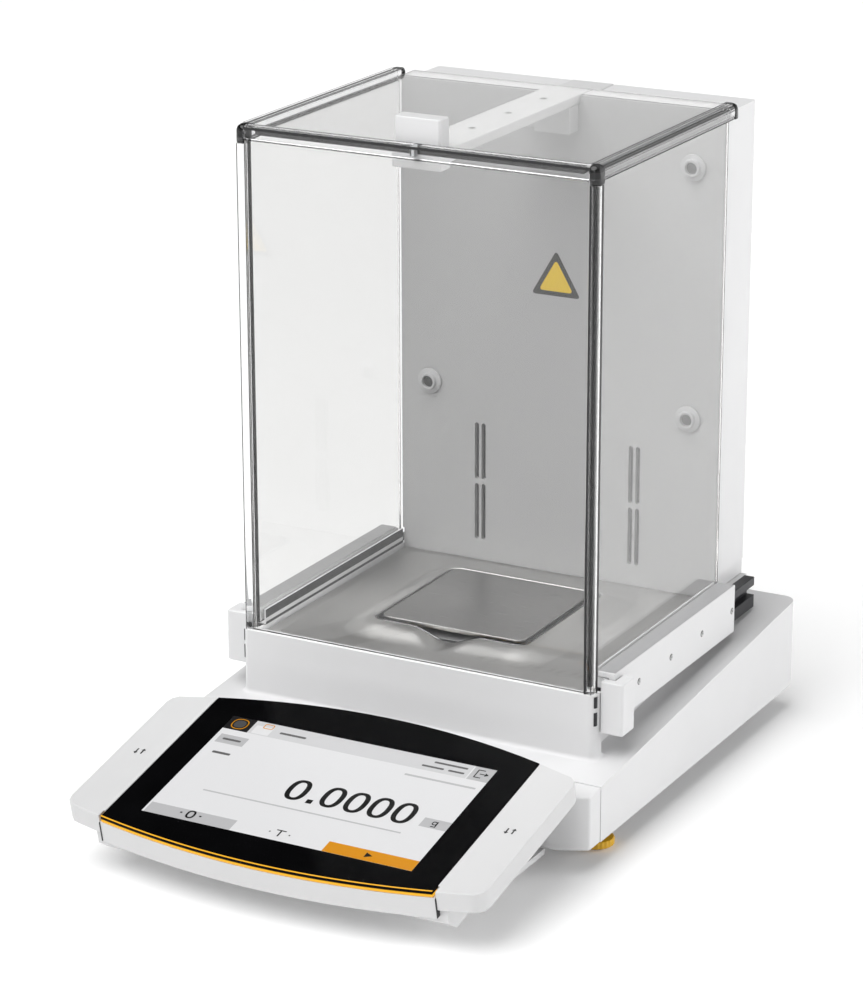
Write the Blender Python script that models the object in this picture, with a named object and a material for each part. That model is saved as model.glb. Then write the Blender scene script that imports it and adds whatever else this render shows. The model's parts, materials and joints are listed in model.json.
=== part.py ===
"""Analytical balance with a glass draft shield and a tilting touch display.

Metres, +Z up. The user faces +Y, so X runs to the right and Y runs to the back. The pieces are
drawn from the front glass, and one frame then puts the origin on the bench at the middle of the
whole footprint.
"""

import math

import bmesh
import bpy
from mathutils import Matrix

GAP = 0.0003
WALL = 0.003

# Base: a low wedge that rises to the back, with a separate cap across its front.
BASE_HALF = 0.120
BASE_FRONT = -0.045
BASE_BACK = 0.2255
BASE_BOTTOM = 0.014
BASE_REAR_RADIUS = 0.007
CAP_SEAM = -0.025
CAP_CREASE_Y = -0.0377
CAP_FACET_X = 0.105
TOP_AT_ORIGIN = 0.0463
TOP_SLOPE = 0.0805
TRAY_THICKNESS = 0.003

# Deck: the level block that carries the chamber.
DECK_HALF = 0.098
DECK_FRONT = -0.002
DECK_TOP = 0.0817
FLANGE_HALF = 0.1045
FLANGE_BACK = 0.0065
FLOOR_TOP = 0.0801
FLOOR_HALF = 0.094
FLOOR_FRONT = 0.0046

# Chamber: front glass, posts, rods and the wall at the back.
POST_OUTER = 0.103
POST_INNER = 0.0979
POST_FRONT = -0.0015
POST_BACK = 0.0042
ROD_BOTTOM = 0.348
ROD_TOP = 0.3556
ROD_BACK = 0.0033
CORNER_SIZE = 0.0004
WALL_FRONT = 0.161
WALL_BACK = 0.164
TOWER_HALF = 0.096
TOWER_BACK = 0.2043
TOWER_TOP = 0.3494
NOZZLE_X = 0.0778
NOZZLE_HEIGHTS = {"lower": 0.181, "upper": 0.3195}
SLOT_X = (0.0442, 0.0484)
SLOT_SPANS = ((0.092, 0.125), (0.1275, 0.1605))
SLOT_WIDTH = 0.0026

# Side doors: each hangs on a rail along the deck and slides to the back.
RAIL_INNER = 0.0983
RAIL_OUTER = 0.1043
RAIL_BOTTOM = 0.0645
RAIL_TOP = 0.0822
RAIL_BACK = 0.2005
DOOR_INNER = 0.0966
DOOR_GLASS = 0.003
DOOR_FRONT = 0.0047
DOOR_BACK = 0.160
DOOR_TOP = 0.3473
CHANNEL_INNER = 0.0952
CHANNEL_TOP = 0.0910
PLATE_INNER = 0.107
PLATE_OUTER = 0.1105
PLATE_BOTTOM = 0.0645
PLATE_TOP = 0.0915
HANDLE_OUTER = 0.1176
HANDLE_FRONT = 0.0038
HANDLE_BACK = 0.0180
HANDLE_STEP = 0.0085

# Top door: a pane on a long bar that runs in a channel through the tower.
TOP_PANE_BOTTOM = 0.3502
TOP_PANE_TOP = 0.3527
TOP_PANE_HALF = 0.0951
TOP_PANE_BACK = 0.174
BAR_HALF = 0.0124
BAR_BOTTOM = 0.3447
BAR_TOP = 0.3499
GRIP_BACK = 0.0138
GRIP_TOP = 0.3685

# Pan: 85 mm square, lifted off its cone for cleaning.
PAN_HALF = 0.0425
PAN_Y = 0.0818
PAN_TOP = 0.0873
PAN_THICKNESS = 0.0024
RING_HALF = 0.0456
RING_TOP = 0.0862

# Display: drawn flat, then tilted on its frame about a pin in front of the base.
DISPLAY_EDGE_Y = -0.0431
DISPLAY_EDGE_Z = 0.0587
DISPLAY_TILT = math.radians(12.0)
DISPLAY_HALF = 0.119
DISPLAY_THICKNESS = 0.011
TOUCH_HALF = 0.0942
TOUCH_THICKNESS = 0.0018
REAR_BULGE = 0.012
FRONT_BULGE = 0.0095
FRONT_EDGE = -0.1155
CORNER_RADIUS = 0.008
STRIP_BACK = -0.1103
HINGE_Y = -0.0503
HINGE_Z = 0.036
HINGE_RADIUS = 0.0047
PIN_RADIUS = 0.002

# Levelling feet.
FOOT_X = 0.106
FOOT_Y = -0.001
WHEEL_RADIUS = 0.0095
STUD_RADIUS = 0.003
REAR_FOOT_X = 0.098
REAR_FOOT_Y = 0.190

SIDES = {"left": -1.0, "right": 1.0}


def clear_scene():
    for thing in list(bpy.data.objects):
        bpy.data.objects.remove(thing, do_unlink=True)


def material(name, colour, roughness, metallic=0.0, transmission=0.0):
    made = bpy.data.materials.new(name)
    made.use_nodes = True
    shader = made.node_tree.nodes["Principled BSDF"]
    shader.inputs["Base Color"].default_value = (*colour, 1.0)
    shader.inputs["Roughness"].default_value = roughness
    shader.inputs["Metallic"].default_value = metallic
    shader.inputs["Transmission Weight"].default_value = transmission
    made.diffuse_color = (*colour, 1.0)
    return made


def empty(name, location, rotation=(0.0, 0.0, 0.0)):
    frame = bpy.data.objects.new(name, None)
    frame.location = location
    frame.rotation_euler = rotation
    bpy.context.scene.collection.objects.link(frame)
    return frame


def place(name, shape, surface, parent=None, smooth=False):
    """Turn a bmesh into a named object; with a parent, the mesh is in the parent's own frame."""
    bmesh.ops.recalc_face_normals(shape, faces=shape.faces)
    mesh = bpy.data.meshes.new(name)
    shape.to_mesh(mesh)
    shape.free()
    made = bpy.data.objects.new(name, mesh)
    bpy.context.scene.collection.objects.link(made)
    made.parent = parent
    if surface is not None:
        mesh.materials.append(surface)
    if smooth:
        mesh.shade_smooth()
        mesh.set_sharp_from_angle(angle=math.radians(35.0))
    return made


def prism_shape(outline, low, high, axis="Z", top=None):
    """A closed prism. The outline is (x, y) for Z, (x, z) for Y and (y, z) for X."""
    shape = bmesh.new()

    def corner(point, along):
        first, second = point
        if axis == "Z":
            return (first, second, along)
        if axis == "Y":
            return (first, along, second)
        return (along, first, second)

    bottom_ring = [shape.verts.new(corner(p, low)) for p in outline]
    top_ring = [shape.verts.new(corner(p, top(p) if top else high)) for p in outline]
    shape.faces.new(bottom_ring)
    shape.faces.new(top_ring)
    for index in range(len(outline)):
        after = (index + 1) % len(outline)
        shape.faces.new((bottom_ring[index], bottom_ring[after], top_ring[after], top_ring[index]))
    return shape


def prism(name, outline, low, high, surface, axis="Z", parent=None, top=None, smooth=False):
    return place(name, prism_shape(outline, low, high, axis, top), surface, parent, smooth)


def box(name, x_span, y_span, z_span, surface, parent=None):
    outline = rounded(x_span, y_span)
    return prism(name, outline, z_span[0], z_span[1], surface, parent=parent)


def rounded(x_span, y_span, radii=(0.0, 0.0, 0.0, 0.0), steps=4):
    """A rectangle with its own radius at low-low, high-low, high-high and low-high corners."""
    x_low, x_high = x_span
    y_low, y_high = y_span
    corners = (
        (x_low, y_low, 1.0, 1.0, 180.0),
        (x_high, y_low, -1.0, 1.0, 270.0),
        (x_high, y_high, -1.0, -1.0, 0.0),
        (x_low, y_high, 1.0, -1.0, 90.0),
    )
    points = []
    for (x, y, to_x, to_y, start), radius in zip(corners, radii):
        if radius == 0.0:
            points.append((x, y))
            continue
        for step in range(steps + 1):
            angle = math.radians(start + 90.0 * step / steps)
            centre_x = x + to_x * radius
            centre_y = y + to_y * radius
            points.append((centre_x + radius * math.cos(angle), centre_y + radius * math.sin(angle)))
    return points


def mirrored(outline, sign):
    return [(sign * x, y) for x, y in outline]


def span(sign, inner, outer):
    return tuple(sorted((sign * inner, sign * outer)))


def turned_shape(profile, steps):
    """Revolve a closed (radius, height) profile about Z; a radius of 0 lies on the axis."""
    shape = bmesh.new()
    rings = []
    for radius, height in profile:
        if radius == 0.0:
            rings.append([shape.verts.new((0.0, 0.0, height))])
            continue
        ring = []
        for step in range(steps):
            angle = 2.0 * math.pi * step / steps
            ring.append(shape.verts.new((radius * math.cos(angle), radius * math.sin(angle), height)))
        rings.append(ring)
    for index, ring in enumerate(rings):
        after = rings[(index + 1) % len(rings)]
        if len(ring) == 1 and len(after) == 1:
            continue
        for step in range(steps):
            following = (step + 1) % steps
            if len(ring) == 1:
                shape.faces.new((ring[0], after[step], after[following]))
            elif len(after) == 1:
                shape.faces.new((ring[step], ring[following], after[0]))
            else:
                shape.faces.new((ring[step], ring[following], after[following], after[step]))
    return shape


def turned(name, profile, centre, surface, axis="Z", steps=24, parent=None):
    """A turned piece with its axis through centre, along Z, X or towards the user (-Y)."""
    shape = turned_shape(profile, steps)
    turns = {
        "Z": Matrix.Identity(4),
        "X": Matrix.Rotation(math.radians(90.0), 4, "Y"),
        "-Y": Matrix.Rotation(math.radians(90.0), 4, "X"),
    }
    bmesh.ops.transform(shape, matrix=turns[axis], verts=shape.verts)
    made = place(name, shape, surface, parent, smooth=True)
    made.location = centre
    return made


def hide_helper(helper):
    helper.hide_render = True
    helper.display_type = "WIRE"


def combine(target, helper, operation):
    hide_helper(helper)
    step = target.modifiers.new(helper.name, "BOOLEAN")
    step.operation = operation
    step.object = helper
    step.solver = "EXACT"


def cut(target, helper):
    combine(target, helper, "DIFFERENCE")


def unite(target, helper):
    combine(target, helper, "UNION")


def cylinder_profile(radius, low, high):
    return [(0.0, low), (radius, low), (radius, high), (0.0, high)]


def wedge_top(point):
    return TOP_AT_ORIGIN + TOP_SLOPE * point[1]


def wedge_inner_top(point):
    return wedge_top(point) - WALL


def faceted_front(inset, back):
    """The base's outline at the front, where a long facet cuts each corner, drawn inwards by inset."""
    half = BASE_HALF - inset
    crease = CAP_CREASE_Y + 0.626 * inset
    facet = CAP_FACET_X - 0.231 * inset
    front = BASE_FRONT + inset
    return [(-half, back), (-half, crease), (-facet, front), (facet, front), (half, crease), (half, back)]


def make_base(white, dark_grey, steel):
    shell_outline = rounded(
        (-BASE_HALF, BASE_HALF), (CAP_SEAM, BASE_BACK), (0.0, 0.0, BASE_REAR_RADIUS, BASE_REAR_RADIUS), 6
    )
    shell = prism("base_shell", shell_outline, BASE_BOTTOM, None, white, top=wedge_top, smooth=True)
    deck_outline = [
        (-FLANGE_HALF, FLANGE_BACK),
        *rounded((-FLANGE_HALF, FLANGE_HALF), (DECK_FRONT, FLANGE_BACK), (0.004, 0.004, 0.0, 0.0))[:-1],
        (DECK_HALF, FLANGE_BACK),
        (DECK_HALF, TOWER_BACK),
        (-DECK_HALF, TOWER_BACK),
        (-DECK_HALF, FLANGE_BACK),
    ]
    unite(shell, prism("deck_block", deck_outline[1:], 0.030, DECK_TOP, None))
    inner_outline = rounded(
        (-BASE_HALF + WALL, BASE_HALF - WALL),
        (CAP_SEAM - 0.001, BASE_BACK - WALL),
        (0.0, 0.0, BASE_REAR_RADIUS - WALL, BASE_REAR_RADIUS - WALL),
        6,
    )
    low = BASE_BOTTOM - 0.001
    cut(shell, prism("shell_hollow", inner_outline, low, None, None, top=wedge_inner_top))
    cut(shell, box("deck_hollow", (-0.095, 0.095), (0.001, 0.2013), (0.020, 0.0756), None))
    recess_back = WALL_BACK + GAP
    recess_half = TOWER_HALF - 0.0001 + GAP
    recess = box("floor_recess", (-recess_half, recess_half), (0.0043, recess_back), (0.0786, 0.090), None)
    cut(shell, recess)
    stem_hole = turned("stem_hole", cylinder_profile(0.015, 0.070, 0.085), (0.0, PAN_Y, 0.0), None)
    cut(shell, stem_hole)

    cap_outline = faceted_front(0.0, CAP_SEAM - GAP)
    cap = prism("front_cap", cap_outline, BASE_BOTTOM, None, white, top=wedge_top, smooth=True)
    cap_hollow_outline = faceted_front(WALL, CAP_SEAM + 0.001)
    cut(cap, prism("cap_hollow", cap_hollow_outline, low, None, None, top=wedge_inner_top))

    tray_bottom = BASE_BOTTOM + GAP
    tray_edge = WALL + GAP
    tray_back = BASE_BACK - tray_edge
    tray_front = faceted_front(tray_edge, tray_back)
    tray_half = BASE_HALF - tray_edge
    rear_radius = BASE_REAR_RADIUS - WALL
    tray_rear = rounded((-tray_half, tray_half), (0.0, tray_back), (0.0, 0.0, rear_radius, rear_radius))
    tray_outline = tray_front[1:-1] + tray_rear[2:]
    tray = prism("base_tray", tray_outline, tray_bottom, tray_bottom + TRAY_THICKNESS, dark_grey)
    for side, sign in SIDES.items():
        hole = turned(
            f"stud_hole_{side}",
            cylinder_profile(STUD_RADIUS + 0.0004, 0.010, 0.020),
            (sign * FOOT_X, FOOT_Y, 0.0),
            None,
            steps=16,
        )
        cut(tray, hole)

    floor_outline = rounded((-FLOOR_HALF, FLOOR_HALF), (FLOOR_FRONT, WALL_FRONT - GAP), (0.002,) * 4)
    floor = prism("floor_plate", floor_outline, FLOOR_TOP - 0.0012, FLOOR_TOP, steel)
    floor_hole = turned("floor_hole", cylinder_profile(0.013, 0.075, 0.085), (0.0, PAN_Y, 0.0), None)
    cut(floor, floor_hole)


def make_tower(white, grey, board_green, black):
    outline = rounded(
        (-TOWER_HALF, TOWER_HALF), (WALL_BACK + 2.0 * GAP, TOWER_BACK), (0.0, 0.0, 0.002, 0.002)
    )
    cover = prism("tower_cover", outline, DECK_TOP + GAP, TOWER_TOP, white, smooth=True)
    inner_half = TOWER_HALF - WALL
    hollow = box(
        "tower_hollow", (-inner_half, inner_half), (0.160, TOWER_BACK - WALL), (0.080, TOWER_TOP - WALL), None
    )
    cut(cover, hollow)
    channel_half = BAR_HALF + GAP
    channel_low = BAR_BOTTOM - GAP
    channel = box("bar_channel", (-channel_half, channel_half), (0.160, 0.206), (channel_low, 0.352), None)
    cut(cover, channel)
    for side, sign in SIDES.items():
        notch_x = span(sign, CHANNEL_INNER - GAP, TOWER_HALF + 0.001)
        cut(cover, box(f"channel_way_{side}", notch_x, (0.160, 0.206), (0.080, CHANNEL_TOP + GAP), None))
    inlet_x = (-0.070, -0.056)
    inlet_z = (0.095, 0.106)
    cut(cover, box("inlet_window", inlet_x, (0.200, 0.206), inlet_z, None))

    inlet = box(
        "power_inlet",
        (inlet_x[0] + GAP, inlet_x[1] - GAP),
        (0.192, TOWER_BACK),
        (inlet_z[0] + GAP, inlet_z[1] - GAP),
        black,
    )
    socket_centre = (sum(inlet_x) / 2.0, 0.0, sum(inlet_z) / 2.0)
    socket = turned("inlet_socket", cylinder_profile(0.0035, -0.206, -0.196), socket_centre, None, "-Y", 16)
    cut(inlet, socket)

    wall_half = TOWER_HALF - 0.0001
    notch_half = channel_half + 0.0001
    foot_half = CHANNEL_INNER - GAP
    wall_outline = [
        (-foot_half, CHANNEL_TOP + GAP),
        (-foot_half, 0.0789),
        (foot_half, 0.0789),
        (foot_half, CHANNEL_TOP + GAP),
        (wall_half, CHANNEL_TOP + GAP),
        (wall_half, TOWER_TOP - GAP),
        (notch_half, TOWER_TOP - GAP),
        (notch_half, channel_low),
        (-notch_half, channel_low),
        (-notch_half, TOWER_TOP - GAP),
        (-wall_half, TOWER_TOP - GAP),
        (-wall_half, CHANNEL_TOP + GAP),
    ]
    wall = prism("rear_wall", wall_outline, WALL_FRONT, WALL_BACK, grey, axis="Y")
    nozzle_profile = [
        (0.0034, -0.168),
        (0.0043, -0.168),
        (0.0043, -0.1607),
        (0.0073, -0.1607),
        (0.0073, -0.1596),
        (0.0050, -0.1590),
        (0.0046, -0.1572),
        (0.0034, -0.1572),
    ]
    for side, sign in SIDES.items():
        for level, height in NOZZLE_HEIGHTS.items():
            name = f"ion_nozzle_{side}_{level}"
            centre = (sign * NOZZLE_X, 0.0, height)
            turned(name, nozzle_profile, centre, grey, "-Y", 20)
            bore = cylinder_profile(0.0046, -0.170, -0.155)
            cut(wall, turned(f"hole_{side}_{level}", bore, centre, None, "-Y", 20))
        for column, slot_x in enumerate(SLOT_X):
            for row, (low, high) in enumerate(SLOT_SPANS):
                across = (sign * slot_x - SLOT_WIDTH / 2.0, sign * slot_x + SLOT_WIDTH / 2.0)
                slot_outline = rounded(across, (low, high), (SLOT_WIDTH / 2.0 - 0.0001,) * 4, 2)
                name = f"slot_{side}_{column}_{row}"
                cut(wall, prism(name, slot_outline, 0.158, 0.170, None, axis="Y"))

    box("ionizer_board", (-0.080, 0.080), (0.176, 0.1776), (0.180, 0.320), board_green)


def corner_cap(name, x_span, y_span, low, surface, rounded_back):
    """An elbow between a post and two rods, rounded where three outer faces meet."""
    shape = prism_shape(rounded(x_span, y_span), low, ROD_TOP + CORNER_SIZE)
    outer_x = max(x_span, key=abs)
    outer_y = y_span[1] if rounded_back else y_span[0]
    top = ROD_TOP + CORNER_SIZE

    def on_outside(vertex):
        matches = (abs(vertex.co.x - outer_x) < 1e-6, abs(vertex.co.y - outer_y) < 1e-6)
        return matches, abs(vertex.co.z - top) < 1e-6

    edges = []
    for edge in shape.edges:
        ends = [on_outside(vertex) for vertex in edge.verts]
        shared = [all(end[0][0] for end in ends), all(end[0][1] for end in ends), all(end[1] for end in ends)]
        if sum(shared) >= 2:
            edges.append(edge)
    bmesh.ops.bevel(shape, geom=edges, offset=0.0038, segments=4, profile=0.5, affect="EDGES")
    return place(name, shape, surface, smooth=True)


def make_chamber(clear, glass, dark, black):
    pane_half = POST_INNER - GAP
    box("front_glass", (-pane_half, pane_half), (-0.001, 0.002), (DECK_TOP + GAP, ROD_BOTTOM - GAP), glass)
    rod_outline = rounded((POST_FRONT, ROD_BACK), (ROD_BOTTOM, ROD_TOP), (0.0006, 0.0006, 0.0006, 0.0024))
    rod_half = POST_INNER - 0.0001
    prism("front_top_rod", rod_outline, -rod_half, rod_half, clear, axis="X", smooth=True)
    for side, sign in SIDES.items():
        radii = (0.0008, 0.0024, 0.0008, 0.0008)
        post = rounded((POST_INNER, POST_OUTER), (POST_FRONT, POST_BACK), radii, 5)
        post_top = ROD_BOTTOM - 0.0018 - GAP
        prism(f"front_post_{side}", mirrored(post, sign), DECK_TOP + GAP, post_top, clear, smooth=True)
        side_rod = rounded((0.0955, POST_OUTER), (ROD_BOTTOM, ROD_TOP), (0.001, 0.001, 0.003, 0.001))
        prism(f"side_top_rod_{side}", mirrored(side_rod, sign), POST_BACK + 0.0005, 0.1605, clear, axis="Y", smooth=True)
        outer = POST_OUTER + CORNER_SIZE
        front_x = span(sign, POST_INNER + 0.0002, outer)
        front_y = (POST_FRONT - CORNER_SIZE, POST_BACK + 0.0002)
        corner_cap(f"front_corner_{side}", front_x, front_y, ROD_BOTTOM - 0.0018, dark, False)
        rear_x = span(sign, 0.0964, outer)
        corner_cap(f"rear_corner_{side}", rear_x, (0.1608, 0.1666), DOOR_TOP + GAP, dark, True)
        rail_outline = [
            (RAIL_INNER, RAIL_BOTTOM),
            (RAIL_OUTER, RAIL_BOTTOM),
            (RAIL_OUTER, 0.0718),
            (0.1000, 0.0718),
            (0.1000, 0.0772),
            (RAIL_OUTER, 0.0772),
            (RAIL_OUTER, RAIL_TOP),
            (RAIL_INNER, RAIL_TOP),
        ]
        prism(f"door_rail_{side}", mirrored(rail_outline, sign), 0.0088, RAIL_BACK, black, axis="Y")


def make_side_door(side, sign, glass, white, black):
    """Everything here moves with the door, whose frame stands on the runner in the rail."""
    runner_z = 0.0745
    frame = empty(f"side_door_{side}_slide", (sign * RAIL_OUTER, 0.0, runner_z))

    def local(outline):
        return [(sign * (x - RAIL_OUTER), z - runner_z) for x, z in outline]

    pane = [
        (DOOR_INNER, 0.0845),
        (DOOR_INNER + DOOR_GLASS, 0.0845),
        (DOOR_INNER + DOOR_GLASS, DOOR_TOP),
        (DOOR_INNER, DOOR_TOP),
    ]
    prism(f"side_glass_{side}", local(pane), DOOR_FRONT, DOOR_BACK, glass, "Y", frame)
    channel = [
        (CHANNEL_INNER, 0.0826),
        (0.1067, 0.0826),
        (0.1067, 0.0882),
        (0.1006, 0.0882),
        (0.1006, CHANNEL_TOP),
        (0.0999, CHANNEL_TOP),
        (0.0999, 0.0842),
        (0.0963, 0.0842),
        (0.0963, CHANNEL_TOP),
        (CHANNEL_INNER, CHANNEL_TOP),
    ]
    prism(f"door_channel_{side}", local(channel), 0.0088, 0.1597, black, "Y", frame)
    plate = [
        (0.1009, PLATE_TOP),
        (0.1009, 0.0885),
        (PLATE_INNER, 0.0885),
        (PLATE_INNER, 0.0768),
        (0.1005, 0.0768),
        (0.1005, 0.0722),
        (PLATE_INNER, 0.0722),
        (PLATE_INNER, PLATE_BOTTOM),
        (PLATE_OUTER, PLATE_BOTTOM),
        (PLATE_OUTER, PLATE_TOP),
    ]
    prism(f"door_plate_{side}", local(plate), 0.0088, 0.1596, white, "Y", frame)
    grip = [
        (0.1048, HANDLE_FRONT),
        *rounded((0.1048, HANDLE_OUTER), (HANDLE_FRONT, HANDLE_BACK), (0.0, 0.0015, 0.0012, 0.0))[1:-1],
        (PLATE_OUTER + GAP, HANDLE_BACK),
        (PLATE_OUTER + GAP, HANDLE_STEP),
        (0.1048, HANDLE_STEP),
    ]
    grip_outline = [(sign * (x - RAIL_OUTER), y) for x, y in grip]
    low = 0.0600 - runner_z
    high = 0.0883 - runner_z
    prism(f"door_handle_{side}", grip_outline, low, high, white, parent=frame, smooth=True)


def make_top_door(glass, white, grey):
    """The pane, the bar under it and the two halves of the grip slide to the back together."""
    frame = empty("top_door_slide", (0.0, 0.0, BAR_TOP))
    pane_outline = [
        (-0.0930, HANDLE_FRONT),
        (0.0930, HANDLE_FRONT),
        (0.0930, 0.0088),
        (TOP_PANE_HALF, 0.0088),
        (TOP_PANE_HALF, TOP_PANE_BACK),
        (-TOP_PANE_HALF, TOP_PANE_BACK),
        (-TOP_PANE_HALF, 0.0088),
        (-0.0930, 0.0088),
    ]
    prism("top_glass", pane_outline, TOP_PANE_BOTTOM - BAR_TOP, TOP_PANE_TOP - BAR_TOP, glass, parent=frame)
    box("top_bar", (-BAR_HALF, BAR_HALF), (0.0145, 0.2036), (BAR_BOTTOM - BAR_TOP, 0.0), white, frame)
    clamp_outline = rounded((-0.014, 0.014), (HANDLE_FRONT, 0.0142), (0.001,) * 4, 2)
    prism("top_clamp", clamp_outline, 0.3425 - BAR_TOP, 0.0, grey, parent=frame, smooth=True)
    grip_outline = rounded((-0.0132, 0.0132), (HANDLE_FRONT, GRIP_BACK), (0.0012,) * 4, 2)
    grip_low = TOP_PANE_TOP + GAP - BAR_TOP
    prism("top_handle", grip_outline, grip_low, GRIP_TOP - BAR_TOP, white, parent=frame, smooth=True)


def make_top_guide(grey):
    """The bracket on the wall that the bar runs over, with its roller spindle at the left."""
    guide = box("top_guide", (-0.009, 0.012), (0.150, WALL_FRONT - GAP), (0.330, BAR_BOTTOM - GAP), grey)
    spindle = turned("guide_spindle", cylinder_profile(0.003, -0.018, -0.004), (0.0, 0.155, 0.334), None, "X", 16)
    unite(guide, spindle)


def make_pan(steel, chrome, aluminium):
    frame = empty("pan_lift", (0.0, PAN_Y, PAN_TOP))
    square = rounded((-PAN_HALF, PAN_HALF), (-PAN_HALF, PAN_HALF), (0.005,) * 4)
    pan = prism("weighing_pan", square, -PAN_THICKNESS, 0.0, steel, parent=frame)
    hub_profile = [(0.0072, -0.0058), (0.0110, -0.0058), (0.0110, -0.0010), (0.0072, -0.0010)]
    unite(pan, turned("pan_hub", hub_profile, (0.0, 0.0, 0.0), None, parent=frame))

    support_profile = [
        (0.0, 0.0583),
        (0.0050, 0.0583),
        (0.0050, 0.0640),
        (0.0120, 0.0660),
        (0.0120, 0.0802),
        (0.0066, 0.0812),
        (0.0060, 0.0846),
        (0.0, 0.0846),
    ]
    turned("pan_support", support_profile, (0.0, PAN_Y, 0.0), aluminium)

    ring_y = (PAN_Y - RING_HALF, PAN_Y + RING_HALF)
    outer = rounded((-RING_HALF, RING_HALF), ring_y, (0.0065,) * 4)
    ring = prism("draft_ring", outer, FLOOR_TOP + GAP, RING_TOP, chrome, smooth=True)
    opening_half = PAN_HALF + 0.0005
    opening_y = (PAN_Y - opening_half, PAN_Y + opening_half)
    opening = rounded((-opening_half, opening_half), opening_y, (0.0052,) * 4)
    cut(ring, prism("ring_opening", opening, 0.075, 0.090, None))
    cut(ring, box("ring_arch_x", (-0.060, 0.060), (PAN_Y - 0.036, PAN_Y + 0.036), (0.079, 0.0828), None))
    cut(ring, box("ring_arch_y", (-0.036, 0.036), (PAN_Y - 0.060, PAN_Y + 0.060), (0.079, 0.0828), None))


def make_weigh_cell(aluminium, steel, copper, black, board_green):
    block_low = BASE_BOTTOM + GAP + TRAY_THICKNESS + GAP
    block = box("cell_block", (-0.028, 0.028), (0.060, 0.166), (block_low, 0.058), aluminium)
    windows = (((0.066, 0.074), (0.028, 0.052)), ((0.090, 0.128), (0.030, 0.050)), ((0.136, 0.160), (0.038, 0.052)))
    for index, (along, up) in enumerate(windows):
        cut(block, box(f"flexure_window_{index}", (-0.030, 0.030), along, up, None))

    magnet_y = 0.1845
    magnet_profile = [
        (0.0, block_low),
        (0.0155, block_low),
        (0.0155, 0.054),
        (0.0124, 0.054),
        (0.0124, 0.0442),
        (0.0086, 0.0442),
        (0.0086, 0.054),
        (0.0, 0.054),
    ]
    turned("force_magnet", magnet_profile, (0.0, magnet_y, 0.0), steel)
    coil_profile = [(0.009, 0.0446), (0.012, 0.0446), (0.012, 0.058), (0.009, 0.058)]
    turned("force_coil", coil_profile, (0.0, magnet_y, 0.0), copper)

    lifter_top = 0.0281
    box("calibration_lifter", (-0.012, 0.012), (0.038, 0.058), (block_low, lifter_top), black)
    weight_radius = 0.008
    centre = (0.0, 0.048, lifter_top + GAP + weight_radius)
    frame = empty("calibration_lift", centre)
    weight = cylinder_profile(weight_radius, -0.014, 0.014)
    turned("calibration_weight", weight, (0.0, 0.0, 0.0), steel, "X", 24, frame)
    box("main_board", (-0.092, -0.040), (0.020, 0.150), (0.024, 0.0256), board_green)


def rear_edge(x):
    return REAR_BULGE * (1.0 - (x / TOUCH_HALF) ** 2)


def front_edge(x):
    return FRONT_EDGE - FRONT_BULGE * (1.0 - (x / TOUCH_HALF) ** 2)


def display_outline(half, corner, back=rear_edge, steps=16):
    """Bulging front and rear edges joined by straight sides, with rounded corners."""
    reach = half - corner
    stations = [reach * (2.0 * step / steps - 1.0) for step in range(steps + 1)]
    points = [(x, front_edge(x)) for x in stations]
    if corner > 0.0:
        for angle in (-60.0, -30.0, 0.0):
            turn = math.radians(angle)
            centre_y = front_edge(reach) + corner
            points.append((reach + corner * math.cos(turn), centre_y + corner * math.sin(turn)))
        for angle in (0.0, 30.0, 60.0):
            turn = math.radians(angle)
            centre_y = back(reach) - corner
            points.append((reach + corner * math.cos(turn), centre_y + corner * math.sin(turn)))
    points.extend((x, back(x)) for x in reversed(stations))
    if corner > 0.0:
        for angle in (120.0, 150.0, 180.0):
            turn = math.radians(angle)
            centre_y = back(reach) - corner
            points.append((-reach + corner * math.cos(turn), centre_y + corner * math.sin(turn)))
        for angle in (180.0, 210.0, 240.0):
            turn = math.radians(angle)
            centre_y = front_edge(reach) + corner
            points.append((-reach + corner * math.cos(turn), centre_y + corner * math.sin(turn)))
    return points


def strip_outline(half, steps=16):
    """The curved front edge closed by a straight back."""
    stations = [half * (2.0 * step / steps - 1.0) for step in range(steps + 1)]
    points = [(x, front_edge(x)) for x in stations]
    points.append((half, STRIP_BACK))
    points.append((-half, STRIP_BACK))
    return points


def hinge_in_display():
    """Where the pin runs in the display's own frame, as (along the slope, across it)."""
    across = HINGE_Y - DISPLAY_EDGE_Y
    up = HINGE_Z - DISPLAY_EDGE_Z
    along_slope = across * math.cos(DISPLAY_TILT) + up * math.sin(DISPLAY_TILT)
    off_slope = up * math.cos(DISPLAY_TILT) - across * math.sin(DISPLAY_TILT)
    return along_slope, off_slope


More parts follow.
